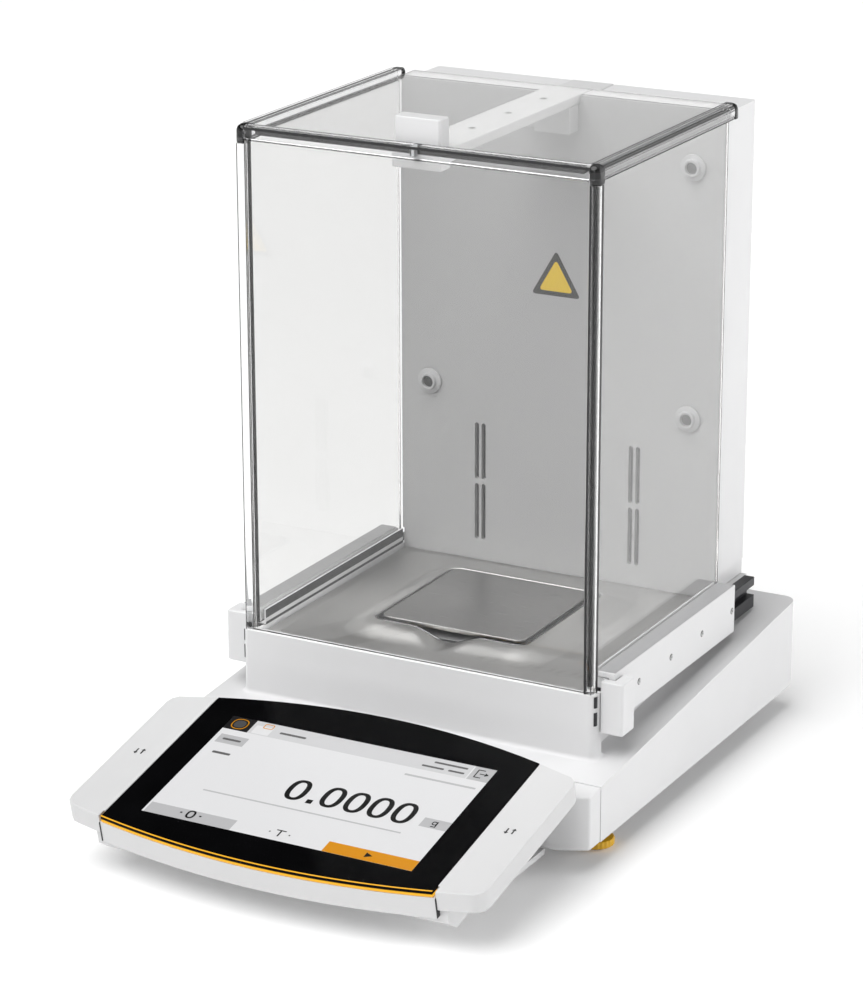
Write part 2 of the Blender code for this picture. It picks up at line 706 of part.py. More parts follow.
def make_display(white, black_glass, amber, dark_grey):
    hinge_s, hinge_w = hinge_in_display()
    frame = empty("display_hinge", (0.0, HINGE_Y, HINGE_Z), (DISPLAY_TILT, 0.0, 0.0))

    def shifted(outline):
        return [(x, s - hinge_s) for x, s in outline]

    def lifted(low, high):
        return low - hinge_w, high - hinge_w

    def slab(name, outline, low, high, surface, smooth=False):
        bottom, top = lifted(low, high)
        return prism(name, shifted(outline), bottom, top, surface, parent=frame, smooth=smooth)

    def side_view(outline):
        return [(s - hinge_s, w - hinge_w) for s, w in outline]

    housing_outline = display_outline(DISPLAY_HALF, CORNER_RADIUS)
    housing = slab("display_housing", housing_outline, -DISPLAY_THICKNESS, 0.0, white, True)
    recess_half = TOUCH_HALF + GAP
    recess = rounded((-recess_half, recess_half), (-0.140, 0.030))
    cut(housing, slab("touch_recess", recess, -TOUCH_THICKNESS - GAP, 0.005, None))
    notch = rounded((-0.0956, 0.0956), (-0.140, STRIP_BACK + GAP))
    cut(housing, slab("front_notch", notch, -0.020, 0.005, None))
    pocket = rounded((-0.081, 0.081), (-0.107, -0.005))
    cut(housing, slab("module_pocket", pocket, -0.008, 0.005, None))

    slab("touch_glass", display_outline(TOUCH_HALF, 0.0), -TOUCH_THICKNESS, 0.0, black_glass, True)
    slab("light_bar", strip_outline(TOUCH_HALF), -0.0033, -0.0021, amber, True)
    slab("display_module", rounded((-0.080, 0.080), (-0.106, -0.006)), -0.0075, -0.0022, dark_grey)

    shell_side = [
        (-0.018, -0.0113),
        (-0.113, -0.0113),
        (-0.113, -0.019),
        (-0.106, -0.026),
        (-0.022, -0.026),
        (-0.018, -0.022),
    ]
    shell = prism("display_shell", side_view(shell_side), -0.100, 0.100, white, "X", frame)
    unite(shell, slab("front_strip", strip_outline(0.0953), -0.0155, -0.0036, None))
    hollow = rounded((-0.0975, 0.0975), (-0.107, -0.0205))
    cut(shell, slab("shell_hollow_display", hollow, -0.0235, -0.005, None))
    for side, sign in SIDES.items():
        lug = [(-0.020, hinge_w + HINGE_RADIUS), (-0.020, hinge_w - HINGE_RADIUS)]
        for step in range(9):
            turn = math.radians(-90.0 + 180.0 * step / 8)
            lug.append((hinge_s + HINGE_RADIUS * math.cos(turn), hinge_w + HINGE_RADIUS * math.sin(turn)))
        low, high = span(sign, 0.046, 0.0545)
        unite(shell, prism(f"hinge_lug_{side}", side_view(lug), low, high, None, "X", frame))
    bore = cylinder_profile(PIN_RADIUS + GAP, -0.060, 0.060)
    cut(shell, turned("lug_bore", bore, (0.0, 0.0, 0.0), None, "X", 16, frame))


def make_display_stand(white, steel):
    """The tongue under the base and the two cheeks that hold the display's pin."""
    tongue = [
        (-0.078, -0.012),
        (-0.078, -0.044),
        (-0.098, -0.044),
        (-0.098, -0.086),
        (0.098, -0.086),
        (0.098, -0.044),
        (0.078, -0.044),
        (0.078, -0.012),
    ]
    stand = prism("display_stand", tongue, 0.0104, 0.0134, white)
    for side, sign in SIDES.items():
        cheek = [(HINGE_Y - HINGE_RADIUS, 0.012), (HINGE_Y + HINGE_RADIUS, 0.012)]
        for step in range(9):
            turn = math.radians(180.0 * step / 8)
            cheek.append((HINGE_Y + HINGE_RADIUS * math.cos(turn), HINGE_Z + HINGE_RADIUS * math.sin(turn)))
        low, high = span(sign, 0.055, 0.063)
        unite(stand, prism(f"hinge_cheek_{side}", cheek, low, high, None, "X"))
    bore = cylinder_profile(PIN_RADIUS + GAP, -0.070, 0.070)
    cut(stand, turned("cheek_bore", bore, (0.0, HINGE_Y, HINGE_Z), None, "X", 16))
    pin = cylinder_profile(PIN_RADIUS, -0.065, 0.065)
    turned("hinge_pin", pin, (0.0, HINGE_Y, HINGE_Z), steel, "X", 16)


def make_feet(amber, rubber):
    pad_profile = [(0.0, 0.0), (0.0065, 0.0), (0.0065, 0.0009), (0.0, 0.0009)]
    wheel_profile = [
        (0.0, 0.0012),
        (0.0089, 0.0012),
        (WHEEL_RADIUS, 0.0018),
        (WHEEL_RADIUS, 0.0048),
        (0.0089, 0.0054),
        (STUD_RADIUS, 0.0054),
        (STUD_RADIUS, 0.030),
        (0.0, 0.030),
    ]
    rear_profile = [(0.0, 0.0), (0.009, 0.0), (0.0095, 0.003), (0.0095, BASE_BOTTOM), (0.0, BASE_BOTTOM)]
    for side, sign in SIDES.items():
        centre = (sign * FOOT_X, FOOT_Y, 0.0)
        turned(f"foot_pad_{side}", pad_profile, centre, rubber)
        turned(f"foot_wheel_{side}", wheel_profile, centre, amber, steps=32)
        turned(f"rear_foot_{side}", rear_profile, (sign * REAR_FOOT_X, REAR_FOOT_Y, 0.0), rubber)


def stand_on_origin():
    """Hang every loose object on one frame, so the footprint's middle is at the origin."""
    foremost = DISPLAY_EDGE_Y + front_edge(0.0) * math.cos(DISPLAY_TILT)
    middle = (BASE_BACK + foremost) / 2.0
    loose = [thing for thing in bpy.data.objects if thing.parent is None]
    root = empty("balance", (0.0, -middle, 0.0))
    for thing in loose:
        thing.parent = root


def main():
    clear_scene()
    white = material("white plastic", (0.86, 0.86, 0.87), 0.45)
    grey = material("grey plastic", (0.70, 0.71, 0.72), 0.50)
    dark_grey = material("dark grey plastic", (0.12, 0.12, 0.13), 0.55)
    black = material("black anodised aluminium", (0.03, 0.03, 0.035), 0.40, 0.6)
    dark = material("dark elbow", (0.05, 0.05, 0.055), 0.20)
    clear = material("clear acrylic", (0.93, 0.95, 0.95), 0.05, 0.0, 1.0)
    glass = material("float glass", (0.93, 0.96, 0.95), 0.02, 0.0, 1.0)
    steel = material("stainless steel", (0.62, 0.62, 0.61), 0.30, 1.0)
    chrome = material("chrome", (0.55, 0.55, 0.56), 0.12, 1.0)
    aluminium = material("aluminium", (0.72, 0.73, 0.74), 0.40, 1.0)
    copper = material("copper wire", (0.72, 0.38, 0.20), 0.40, 1.0)
    board_green = material("circuit board", (0.05, 0.22, 0.12), 0.50)
    black_glass = material("black touch glass", (0.01, 0.01, 0.012), 0.06)
    amber = material("amber plastic", (0.90, 0.55, 0.04), 0.35)
    rubber = material("rubber", (0.08, 0.08, 0.08), 0.80)

    make_base(white, dark_grey, steel)
    make_tower(white, grey, board_green, black)
    make_chamber(clear, glass, dark, black)
    for side, sign in SIDES.items():
        make_side_door(side, sign, glass, white, black)
    make_top_door(glass, white, grey)
    make_top_guide(grey)
    make_pan(steel, chrome, aluminium)
    make_weigh_cell(aluminium, steel, copper, black, board_green)
    make_display(white, black_glass, amber, dark_grey)
    make_display_stand(white, steel)
    make_feet(amber, rubber)
    stand_on_origin()


main()
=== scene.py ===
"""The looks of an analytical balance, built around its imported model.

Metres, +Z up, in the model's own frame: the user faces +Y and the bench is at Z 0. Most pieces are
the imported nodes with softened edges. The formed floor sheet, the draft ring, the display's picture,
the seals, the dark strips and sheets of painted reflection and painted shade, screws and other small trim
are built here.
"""

import json
import math

import bmesh
import bpy
from mathutils import Matrix, Vector

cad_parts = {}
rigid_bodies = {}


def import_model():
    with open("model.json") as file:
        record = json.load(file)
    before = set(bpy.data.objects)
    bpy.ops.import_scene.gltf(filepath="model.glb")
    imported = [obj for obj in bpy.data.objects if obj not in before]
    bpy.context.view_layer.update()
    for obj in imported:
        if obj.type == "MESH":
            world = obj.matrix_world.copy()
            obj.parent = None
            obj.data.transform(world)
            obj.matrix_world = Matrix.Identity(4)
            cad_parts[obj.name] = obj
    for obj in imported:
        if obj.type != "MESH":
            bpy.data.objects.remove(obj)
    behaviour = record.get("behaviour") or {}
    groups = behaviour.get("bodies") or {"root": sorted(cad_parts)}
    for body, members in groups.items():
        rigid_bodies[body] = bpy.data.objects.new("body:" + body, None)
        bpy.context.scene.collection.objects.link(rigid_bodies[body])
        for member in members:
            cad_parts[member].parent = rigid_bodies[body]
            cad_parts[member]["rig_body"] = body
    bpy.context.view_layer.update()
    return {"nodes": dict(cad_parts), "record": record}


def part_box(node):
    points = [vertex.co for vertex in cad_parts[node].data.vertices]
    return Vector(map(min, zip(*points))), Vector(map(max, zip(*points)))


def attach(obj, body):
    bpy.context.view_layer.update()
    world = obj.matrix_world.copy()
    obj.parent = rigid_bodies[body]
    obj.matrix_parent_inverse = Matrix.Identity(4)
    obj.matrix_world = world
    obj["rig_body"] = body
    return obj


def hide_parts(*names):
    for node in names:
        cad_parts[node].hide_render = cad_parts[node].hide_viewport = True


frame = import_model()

SIDES = {"left": -1.0, "right": 1.0}
MM = 0.001


# Materials

class Surface:
    """A Principled material and the few node groups that the balance's finishes are made of."""

    def __init__(self, name, colour, roughness, metallic=0.0):
        self.material = bpy.data.materials.new(name)
        self.material.use_nodes = True
        self.nodes = self.material.node_tree.nodes
        self.links = self.material.node_tree.links
        self.shader = self.nodes["Principled BSDF"]
        self.colour = colour
        self.set("Base Color", (*colour, 1.0))
        self.set("Roughness", roughness)
        self.set("Metallic", metallic)
        self.place = self.nodes.new("ShaderNodeTexCoord").outputs["Object"]

    def set(self, socket, value):
        self.shader.inputs[socket].default_value = value

    def noise(self, scale, detail=2.0, stretch=(1.0, 1.0, 1.0)):
        mapping = self.nodes.new("ShaderNodeMapping")
        mapping.inputs["Scale"].default_value = stretch
        texture = self.nodes.new("ShaderNodeTexNoise")
        texture.inputs["Scale"].default_value = scale
        texture.inputs["Detail"].default_value = detail
        self.links.new(self.place, mapping.inputs["Vector"])
        self.links.new(mapping.outputs["Vector"], texture.inputs["Vector"])
        return texture.outputs["Fac"]

    def spread(self, source, low, high):
        """Map the middle half of a noise onto low to high."""
        scaled = self.nodes.new("ShaderNodeMapRange")
        scaled.inputs["From Min"].default_value = 0.3
        scaled.inputs["From Max"].default_value = 0.7
        scaled.inputs["To Min"].default_value = low
        scaled.inputs["To Max"].default_value = high
        self.links.new(source, scaled.inputs["Value"])
        return scaled.outputs["Result"]

    def tint(self, source, amount):
        """Vary the colour's brightness by a small share."""
        ramp = self.nodes.new("ShaderNodeValToRGB")
        low, high = ramp.color_ramp.elements
        low.position = 0.3
        high.position = 0.7
        low.color = (*(c * (1.0 - amount) for c in self.colour), 1.0)
        high.color = (*(min(c * (1.0 + amount), 1.0) for c in self.colour), 1.0)
        self.links.new(source, ramp.inputs["Fac"])
        self.links.new(ramp.outputs["Color"], self.shader.inputs["Base Color"])

    def roughen(self, source, low, high):
        self.links.new(self.spread(source, low, high), self.shader.inputs["Roughness"])

    def bump(self, source, strength, distance):
        bump = self.nodes.new("ShaderNodeBump")
        bump.inputs["Strength"].default_value = strength
        bump.inputs["Distance"].default_value = distance
        self.links.new(source, bump.inputs["Height"])
        self.links.new(bump.outputs["Normal"], self.shader.inputs["Normal"])

    def pass_lamps(self):
        """Let lamps shine through, as they do through a clear pane."""
        path = self.nodes.new("ShaderNodeLightPath")
        through = self.nodes.new("ShaderNodeBsdfTransparent")
        mix = self.nodes.new("ShaderNodeMixShader")
        self.links.new(path.outputs["Is Shadow Ray"], mix.inputs[0])
        self.links.new(self.shader.outputs["BSDF"], mix.inputs[1])
        self.links.new(through.outputs["BSDF"], mix.inputs[2])
        self.links.new(mix.outputs["Shader"], self.nodes["Material Output"].inputs["Surface"])


def moulded_plastic(name, colour, roughness, grain=2600.0, depth=0.00003):
    made = Surface(name, colour, roughness)
    fine = made.noise(grain, 3.0)
    made.tint(made.noise(14.0, 3.0), 0.012)
    made.roughen(made.noise(60.0), roughness - 0.05, roughness + 0.05)
    made.bump(fine, 0.35, depth)
    return made.material


def wall_paint():
    made = Surface("wall paint", (0.35, 0.35, 0.352), 0.48)
    made.tint(made.noise(1800.0, 4.0), 0.035)
    made.bump(made.noise(2200.0, 3.0), 0.4, 0.00003)
    return made.material


def brushed_steel(name, colour, low, high, streaks):
    """Steel with fine scratches that run along X."""
    made = Surface(name, colour, low, 1.0)
    scratches = made.noise(60.0, 4.0, (1.0, 60.0, 60.0))
    made.tint(scratches, streaks)
    made.roughen(scratches, low, high)
    made.bump(scratches, 0.06, 0.00002)
    made.set("Anisotropic", 0.5)
    return made.material


def dark_chrome():
    made = Surface("dark chrome", (0.20, 0.20, 0.205), 0.16, 1.0)
    cloud = made.noise(90.0, 2.0)
    made.tint(cloud, 0.10)
    made.roughen(cloud, 0.12, 0.20)
    return made.material


def clear(name, colour, ior):
    made = Surface(name, colour, 0.0)
    made.set("Transmission Weight", 1.0)
    made.set("IOR", ior)
    made.tint(made.noise(5.0, 1.0), 0.004)
    made.pass_lamps()
    return made.material


def printed_glass():
    """Glass with a black print behind it and a coat that keeps it from mirroring the room."""
    made = Surface("printed glass", (0.002, 0.002, 0.0023), 0.10)
    made.set("Specular IOR Level", 0.035)
    cloud = made.noise(40.0, 2.0)
    made.roughen(cloud, 0.08, 0.13)
    made.tint(cloud, 0.2)
    return made.material


def lit_pixels(name, colour, glow):
    """A part of the display's picture: it glows, and a fine speckle of tone shows close up."""
    made = Surface(name, tuple(0.25 * c for c in colour), 0.30)
    made.set("Specular IOR Level", 0.2)
    made.set("Emission Color", (*colour, 1.0))
    made.tint(made.noise(5200.0, 0.0), 0.06)
    made.set("Emission Strength", glow)
    return made.material


def anodised():
    made = Surface("black anodised", (0.022, 0.022, 0.025), 0.36, 0.35)
    lines = made.noise(40.0, 3.0, (60.0, 1.0, 60.0))
    made.tint(lines, 0.25)
    made.roughen(lines, 0.30, 0.42)
    return made.material


def rubber():
    made = Surface("rubber", (0.03, 0.03, 0.03), 0.75)
    made.tint(made.noise(300.0, 3.0), 0.2)
    made.bump(made.noise(1500.0, 3.0), 0.5, 0.00008)
    return made.material


def milled_aluminium():
    made = Surface("milled aluminium", (0.66, 0.67, 0.68), 0.34, 1.0)
    lines = made.noise(50.0, 3.0, (60.0, 1.0, 1.0))
    made.tint(lines, 0.06)
    made.roughen(lines, 0.28, 0.42)
    return made.material


def wound_copper():
    made = Surface("wound copper", (0.62, 0.30, 0.15), 0.35, 1.0)
    made.tint(made.noise(60.0, 1.0, (1.0, 1.0, 40.0)), 0.25)
    made.bump(made.noise(60.0, 1.0, (1.0, 1.0, 60.0)), 0.8, 0.0002)
    return made.material


def solder_mask():
    made = Surface("solder mask", (0.02, 0.14, 0.07), 0.38)
    made.tint(made.noise(350.0, 4.0), 0.35)
    made.bump(made.noise(700.0, 2.0), 0.3, 0.0001)
    return made.material


WHITE = moulded_plastic("white plastic", (0.70, 0.70, 0.705), 0.42)
SOFT_WHITE = moulded_plastic("soft white plastic", (0.62, 0.62, 0.623), 0.42)
LIGHT_GREY = moulded_plastic("light grey plastic", (0.58, 0.58, 0.585), 0.45)
MID_GREY = moulded_plastic("mid grey plastic", (0.36, 0.36, 0.365), 0.40)
DARK_GREY = moulded_plastic("dark grey plastic", (0.07, 0.07, 0.075), 0.55)
AMBER = moulded_plastic("amber plastic", (0.82, 0.46, 0.015), 0.30)
WALL = wall_paint()
STEEL = brushed_steel("brushed steel", (0.60, 0.595, 0.585), 0.34, 0.44, 0.03)
PAN_STEEL = brushed_steel("pan steel", (0.40, 0.395, 0.39), 0.27, 0.33, 0.02)
CHROME = dark_chrome()
GLASS = clear("float glass", (0.925, 0.925, 0.921), 1.5)
DOOR_GLASS = clear("door glass", (0.900, 0.900, 0.896), 1.5)
ACRYLIC = clear("clear acrylic", (0.97, 0.975, 0.975), 1.49)
SMOKED = clear("smoked acrylic", (0.06, 0.06, 0.062), 1.49)
ROD_CLEAR = clear("clear front rod", (0.95, 0.95, 0.955), 1.49)
ROD_TINTED = clear("tinted side rod", (0.84, 0.84, 0.845), 1.49)
BLACK_GLASS = printed_glass()
ANODISED = anodised()
RUBBER = rubber()
ALUMINIUM = milled_aluminium()
COPPER = wound_copper()
BOARD = solder_mask()
# Black for real seals and gaps, and also for painted shade and painted reflections.
SEAL_PAINTED_SHADE_AND_REFLECTION = moulded_plastic("black seal, painted shade and reflection", (0.012, 0.012, 0.013), 0.40)
INK = moulded_plastic("dark print", (0.02, 0.02, 0.02), 0.50)
LABEL_YELLOW = moulded_plastic("label yellow", (0.62, 0.42, 0.008), 0.45)
GLOW_AMBER = lit_pixels("amber light", (1.0, 0.50, 0.03), 0.75)
SCREEN_LIGHT = lit_pixels("screen light grey", (0.84, 0.84, 0.85), 0.62)
SCREEN_GREY = lit_pixels("screen grey", (0.55, 0.55, 0.56), 0.62)
SCREEN_MID = lit_pixels("screen mid grey", (0.08, 0.08, 0.082), 0.62)
SCREEN_DARK = lit_pixels("screen dark", (0.012, 0.012, 0.013), 0.62)
SCREEN_AMBER = lit_pixels("screen amber", (0.86, 0.34, 0.004), 0.50)
SCREEN_PALE = lit_pixels("screen pale grey", (0.70, 0.70, 0.71), 0.62)
SCREEN_INK = lit_pixels("screen ink", (0.010, 0.010, 0.010), 0.2)
SCREEN_INK_SOFT = lit_pixels("screen soft ink", (0.17, 0.17, 0.17), 0.5)
SCREW_STEEL = brushed_steel("screw steel", (0.66, 0.66, 0.66), 0.22, 0.32, 0.04)


# Building blocks

def own(piece, surface, body, slot, *nodes):
    """Give a finished piece its material and its body, and hide the nodes it stands for. The slot is not
    used.
    """
    piece.data.materials.clear()
    piece.data.materials.append(surface)
    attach(piece, body)
    if nodes:
        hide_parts(*nodes)
    return piece


def finish_mesh(name, shape, smooth_angle=40.0):
    bmesh.ops.recalc_face_normals(shape, faces=shape.faces)
    mesh = bpy.data.meshes.new(name)
    shape.to_mesh(mesh)
    shape.free()
    mesh.shade_smooth()
    mesh.set_sharp_from_angle(angle=math.radians(smooth_angle))
    piece = bpy.data.objects.new(name, mesh)
    bpy.context.scene.collection.objects.link(piece)
    weighted = piece.modifiers.new("weighted normals", "WEIGHTED_NORMAL")
    weighted.keep_sharp = True
    return piece


def body_of(node):
    return frame["nodes"][node]["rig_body"]


SHARP_ANGLE = math.radians(33.0)
SLOT_OF = {row["node"]: row["material_slot"] for row in frame["record"]["subparts"]}


def sharp_edges(shape):
    return [e for e in shape.edges if e.is_manifold and e.calc_face_angle() > SHARP_ANGLE]


def round_edges(shape, edges, radius, segments):
    bmesh.ops.bevel(
        shape,
        geom=edges,
        offset=radius,
        segments=segments,
        profile=0.5,
        affect="EDGES",
        clamp_overlap=True,
    )


def softened(node, surface, width, segments=3, wide_edge=None, wide=0.0):
    """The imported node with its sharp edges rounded. wide_edge picks edges for the larger radius."""
    shape = bmesh.new()
    shape.from_mesh(frame["nodes"][node].data)
    bmesh.ops.remove_doubles(shape, verts=shape.verts, dist=0.000002)
    bmesh.ops.dissolve_limit(
        shape,
        angle_limit=math.radians(0.6),
        verts=shape.verts,
        edges=shape.edges,
        use_dissolve_boundaries=False,
    )
    if wide_edge is not None:
        chosen = [e for e in sharp_edges(shape) if wide_edge(e.verts[0].co, e.verts[1].co)]
        round_edges(shape, chosen, wide, segments + 3)
    round_edges(shape, sharp_edges(shape), width, segments)
    piece = finish_mesh(f"{node}_finish", shape)
    return own(piece, surface, body_of(node), SLOT_OF[node], node)


def arc(centre, radius, start, end, steps):
    """Points on a circle from one angle to another, in degrees."""
    points = []
    for step in range(steps + 1):
        angle = math.radians(start + (end - start) * step / steps)
        points.append((centre[0] + radius * math.cos(angle), centre[1] + radius * math.sin(angle)))
    return points


def rounded(x_low, x_high, y_low, y_high, radius, steps=6):
    return [
        *arc((x_low + radius, y_low + radius), radius, 180.0, 270.0, steps),
        *arc((x_high - radius, y_low + radius), radius, 270.0, 360.0, steps),
        *arc((x_high - radius, y_high - radius), radius, 0.0, 90.0, steps),
        *arc((x_low + radius, y_high - radius), radius, 90.0, 180.0, steps),
    ]


def add_prism(shape, outline, low, high, matrix=None):
    """Add a closed prism with its outline in X and Y to a shape."""
    bottom = [shape.verts.new((x, y, low)) for x, y in outline]
    top = [shape.verts.new((x, y, high)) for x, y in outline]
    shape.faces.new(reversed(bottom))
    shape.faces.new(top)
    for index in range(len(outline)):
        after = (index + 1) % len(outline)
        shape.faces.new((bottom[index], bottom[after], top[after], top[index]))
    if matrix is not None:
        bmesh.ops.transform(shape, matrix=matrix, verts=bottom + top)


def add_turned(shape, profile, steps, matrix=None):
    """Add a body turned about Z from a closed (radius, height) profile clear of the axis."""
    rings = []
    for radius, height in profile:
        ring = []
        for step in range(steps):
            angle = 2.0 * math.pi * step / steps
            ring.append(shape.verts.new((radius * math.cos(angle), radius * math.sin(angle), height)))
        rings.append(ring)
    for index, ring in enumerate(rings):
        after = rings[(index + 1) % len(rings)]
        for step in range(steps):
            following = (step + 1) % steps
            shape.faces.new((ring[step], ring[following], after[following], after[step]))
    if matrix is not None:
        made = [vertex for ring in rings for vertex in ring]
        bmesh.ops.transform(shape, matrix=matrix, verts=made)


# The stage, camera and lights

CAMERA_TARGET = Vector((0.034, -0.07475, 0.1885))
CAMERA_AZIMUTH = 28.556
CAMERA_ELEVATION = 18.55
CAMERA_DISTANCE = 1.7305
CAMERA_ROLL = -0.16
CAMERA_LENS = 125.75
SOFTBOX_AIM = Vector((0.0, 0.0, 0.15))


def direction(azimuth, elevation):
    """From the object towards a viewer at that azimuth and elevation, in degrees."""
    a = math.radians(azimuth)
    e = math.radians(elevation)
    return Vector((math.sin(a) * math.cos(e), -math.cos(a) * math.cos(e), math.sin(e)))


def make_camera():
    camera = bpy.data.objects.new("camera", bpy.data.cameras.new("camera"))
    bpy.context.scene.collection.objects.link(camera)
    towards = direction(CAMERA_AZIMUTH, CAMERA_ELEVATION)
    camera.location = CAMERA_TARGET + CAMERA_DISTANCE * towards
    turn = (-towards).to_track_quat("-Z", "Y").to_matrix().to_4x4()
    camera.rotation_euler = (turn @ Matrix.Rotation(math.radians(CAMERA_ROLL), 4, "Z")).to_euler()
    camera.data.lens = CAMERA_LENS
    camera.data.sensor_width = 36.0
    camera.data.clip_start = 0.05
    bpy.context.scene.camera = camera


def make_floor():
    made = Surface("stage floor", (0.90, 0.90, 0.90), 0.60)
    made.tint(made.noise(3.0, 2.0), 0.004)
    made.set("Specular IOR Level", 0.1)
    made.set("Emission Color", (1.0, 1.0, 1.0, 1.0))
    made.set("Emission Strength", 0.13)
    shape = bmesh.new()
    half = 9.0
    square = ((-half, -half), (half, -half), (half, half), (-half, half))
    shape.faces.new([shape.verts.new((x, y, 0.0)) for x, y in square])
    floor = finish_mesh("stage_floor", shape)
    floor.data.materials.append(made.material)


def make_world():
    """A studio that is white near the horizon and darker overhead, between the softboxes."""
    world = bpy.data.worlds.new("studio")
    bpy.context.scene.world = world
    world.use_nodes = True
    nodes = world.node_tree.nodes
    links = world.node_tree.links
    place = nodes.new("ShaderNodeTexCoord")
    split = nodes.new("ShaderNodeSeparateXYZ")
    ramp = nodes.new("ShaderNodeValToRGB")
    stops = ((0.0, 1.0), (0.04, 0.80), (0.20, 0.70), (0.34, 0.40), (0.48, 0.06), (0.75, 0.04), (1.0, 0.25))
    for _ in range(len(stops) - 2):
        ramp.color_ramp.elements.new(0.5)
    for element, (height, grey) in zip(ramp.color_ramp.elements, stops):
        element.position = height
        element.color = (grey, grey, grey, 1.0)
    links.new(place.outputs["Generated"], split.inputs["Vector"])
    links.new(split.outputs["Z"], ramp.inputs["Fac"])
    links.new(ramp.outputs["Color"], nodes["Background"].inputs["Color"])
    nodes["Background"].inputs["Strength"].default_value = 1.0


def make_skylight(azimuth, elevation, strength, width):
    """One wide, even light from above, which fades nowhere across the floor."""
    lamp = bpy.data.lights.new("skylight", "SUN")
    lamp.energy = strength
    lamp.angle = math.radians(width)
    sky = bpy.data.objects.new("skylight", lamp)
    sky.rotation_euler = direction(azimuth, elevation).to_track_quat("Z", "Y").to_euler()
    bpy.context.scene.collection.objects.link(sky)


def make_softbox(name, azimuth, elevation, distance, width, power):
    lamp = bpy.data.lights.new(name, "AREA")
    lamp.shape = "SQUARE"
    lamp.size = width
    lamp.energy = power
    box = bpy.data.objects.new(name, lamp)
    towards = direction(azimuth, elevation)
    box.location = SOFTBOX_AIM + distance * towards
    box.rotation_euler = towards.to_track_quat("Z", "Y").to_euler()
    bpy.context.scene.collection.objects.link(box)
    return box


def make_stage():
    make_camera()
    make_floor()
    make_world()
    make_skylight(-28.0, 64.0, 2.80, 60.0)
    make_softbox("softbox_right", 120.0, 18.0, 3.0, 1.6, 37.0).visible_glossy = False
    make_softbox("softbox_front", -12.0, 40.0, 2.4, 1.0, 6.0)
    bpy.context.scene.view_settings.view_transform = "Standard"


# Base, tower and chamber

def make_base():
    deck_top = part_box("base_shell")[1].z
    deck_low, deck_high = 0.030, deck_top - 0.02

    def under_deck(a, b):
        """The inside corner where the deck rises from the wedge."""
        inside = max(abs(a.x), abs(b.x)) < 0.110 and min(a.y, b.y) > -0.035
        between = deck_low < min(a.z, b.z) and max(a.z, b.z) < deck_high
        return inside and between and abs(a.z - b.z) < 0.03

    softened("base_shell", WHITE, 0.0011, 3, under_deck, 0.0035)
    softened("front_cap", WHITE, 0.0011)
    softened("base_tray", DARK_GREY, 0.0006, 2)
    softened("tower_cover", WHITE, 0.0010)
    softened("rear_wall", WALL, 0.0003, 2)
    softened("power_inlet", DARK_GREY, 0.0003, 2)
    softened("display_stand", WHITE, 0.0008)
    for side in SIDES:
        softened(f"rear_foot_{side}", RUBBER, 0.0006)
        softened(f"foot_pad_{side}", RUBBER, 0.0003, 2)


def make_chamber():
    softened("front_glass", GLASS, 0.0003, 2)
    softened("front_top_rod", ROD_CLEAR, 0.0004)
    softened("top_guide", LIGHT_GREY, 0.0004)
    for side in SIDES:
        softened(f"front_post_{side}", ACRYLIC, 0.0004)
        softened(f"side_top_rod_{side}", ROD_TINTED, 0.0004)
        softened(f"front_corner_{side}", SMOKED, 0.0003, 2)
        softened(f"rear_corner_{side}", SMOKED, 0.0003, 2)
        softened(f"door_rail_{side}", ANODISED, 0.0003, 2)
        softened(f"side_glass_{side}", DOOR_GLASS, 0.0003, 2)
        softened(f"door_channel_{side}", LIGHT_GREY, 0.0002, 2)
        softened(f"door_plate_{side}", WHITE, 0.0004, 2)
        softened(f"door_handle_{side}", WHITE, 0.0008)
        for level in ("lower", "upper"):
            softened(f"ion_nozzle_{side}_{level}", MID_GREY, 0.0002, 2)
    softened("top_glass", GLASS, 0.0003, 2)
    softened("top_bar", SOFT_WHITE, 0.0006)
    softened("top_clamp", LIGHT_GREY, 0.0005)
    softened("top_handle", WHITE, 0.0010)


def make_display():
    softened("display_housing", SOFT_WHITE, 0.0009)
    softened("touch_glass", BLACK_GLASS, 0.0002, 2)
    softened("display_shell", SOFT_WHITE, 0.0008)
    softened("light_bar", GLOW_AMBER, 0.0002, 2)


# The floor of the chamber, with its raised ring and finger groove

RING_LOW, RING_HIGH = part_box("draft_ring")
RING_CENTRE = (RING_LOW + RING_HIGH) / 2.0
RING_HALF = (RING_HIGH.x - RING_LOW.x) / 2.0
RING_CORNER = 0.0065
FLOOR_LOW, FLOOR_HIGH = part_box("floor_plate")
PLATEAU_WIDTH = 0.017
GROOVE_HALF = 0.0115


def square_radius(angle, half, corner):
    """How far the rounded square's edge is from its centre at an angle in radians."""
    c = abs(math.cos(angle))
    s = abs(math.sin(angle))
    reach = half / max(c, s)
    flat = half - corner
    if min(c, s) * reach <= flat:
        return reach
    along = flat * (c + s)
    return along + math.sqrt(along * along - 2.0 * flat * flat + corner * corner)


def beyond_ring(x, y):
    """The distance of a point of the floor from the ring's outer edge."""
    flat = RING_HALF - RING_CORNER
    over_x = abs(x - RING_CENTRE.x) - flat
    over_y = abs(y - RING_CENTRE.y) - flat
    outside = math.hypot(max(over_x, 0.0), max(over_y, 0.0))
    return outside + min(max(over_x, over_y), 0.0) - RING_CORNER


def groove_depth(x, y):
    """How much of the plateau's height the finger groove leaves at a point, from 0 to 1."""
    if y > RING_CENTRE.y:
        return 1.0
    share = min(abs(x - RING_CENTRE.x) / (GROOVE_HALF * 1.9), 1.0)
    return min(1.0, 0.06 + 0.94 * share * share * (3.0 - 2.0 * share))


def floor_height(x, y):
    rise = RING_HIGH.z - FLOOR_HIGH.z
    share = min(max((beyond_ring(x, y) - 0.0012) / PLATEAU_WIDTH, 0.0), 1.0)
    slope = 1.0 - share * share * (3.0 - 2.0 * share)
    return FLOOR_HIGH.z + rise * min(slope, groove_depth(x, y))


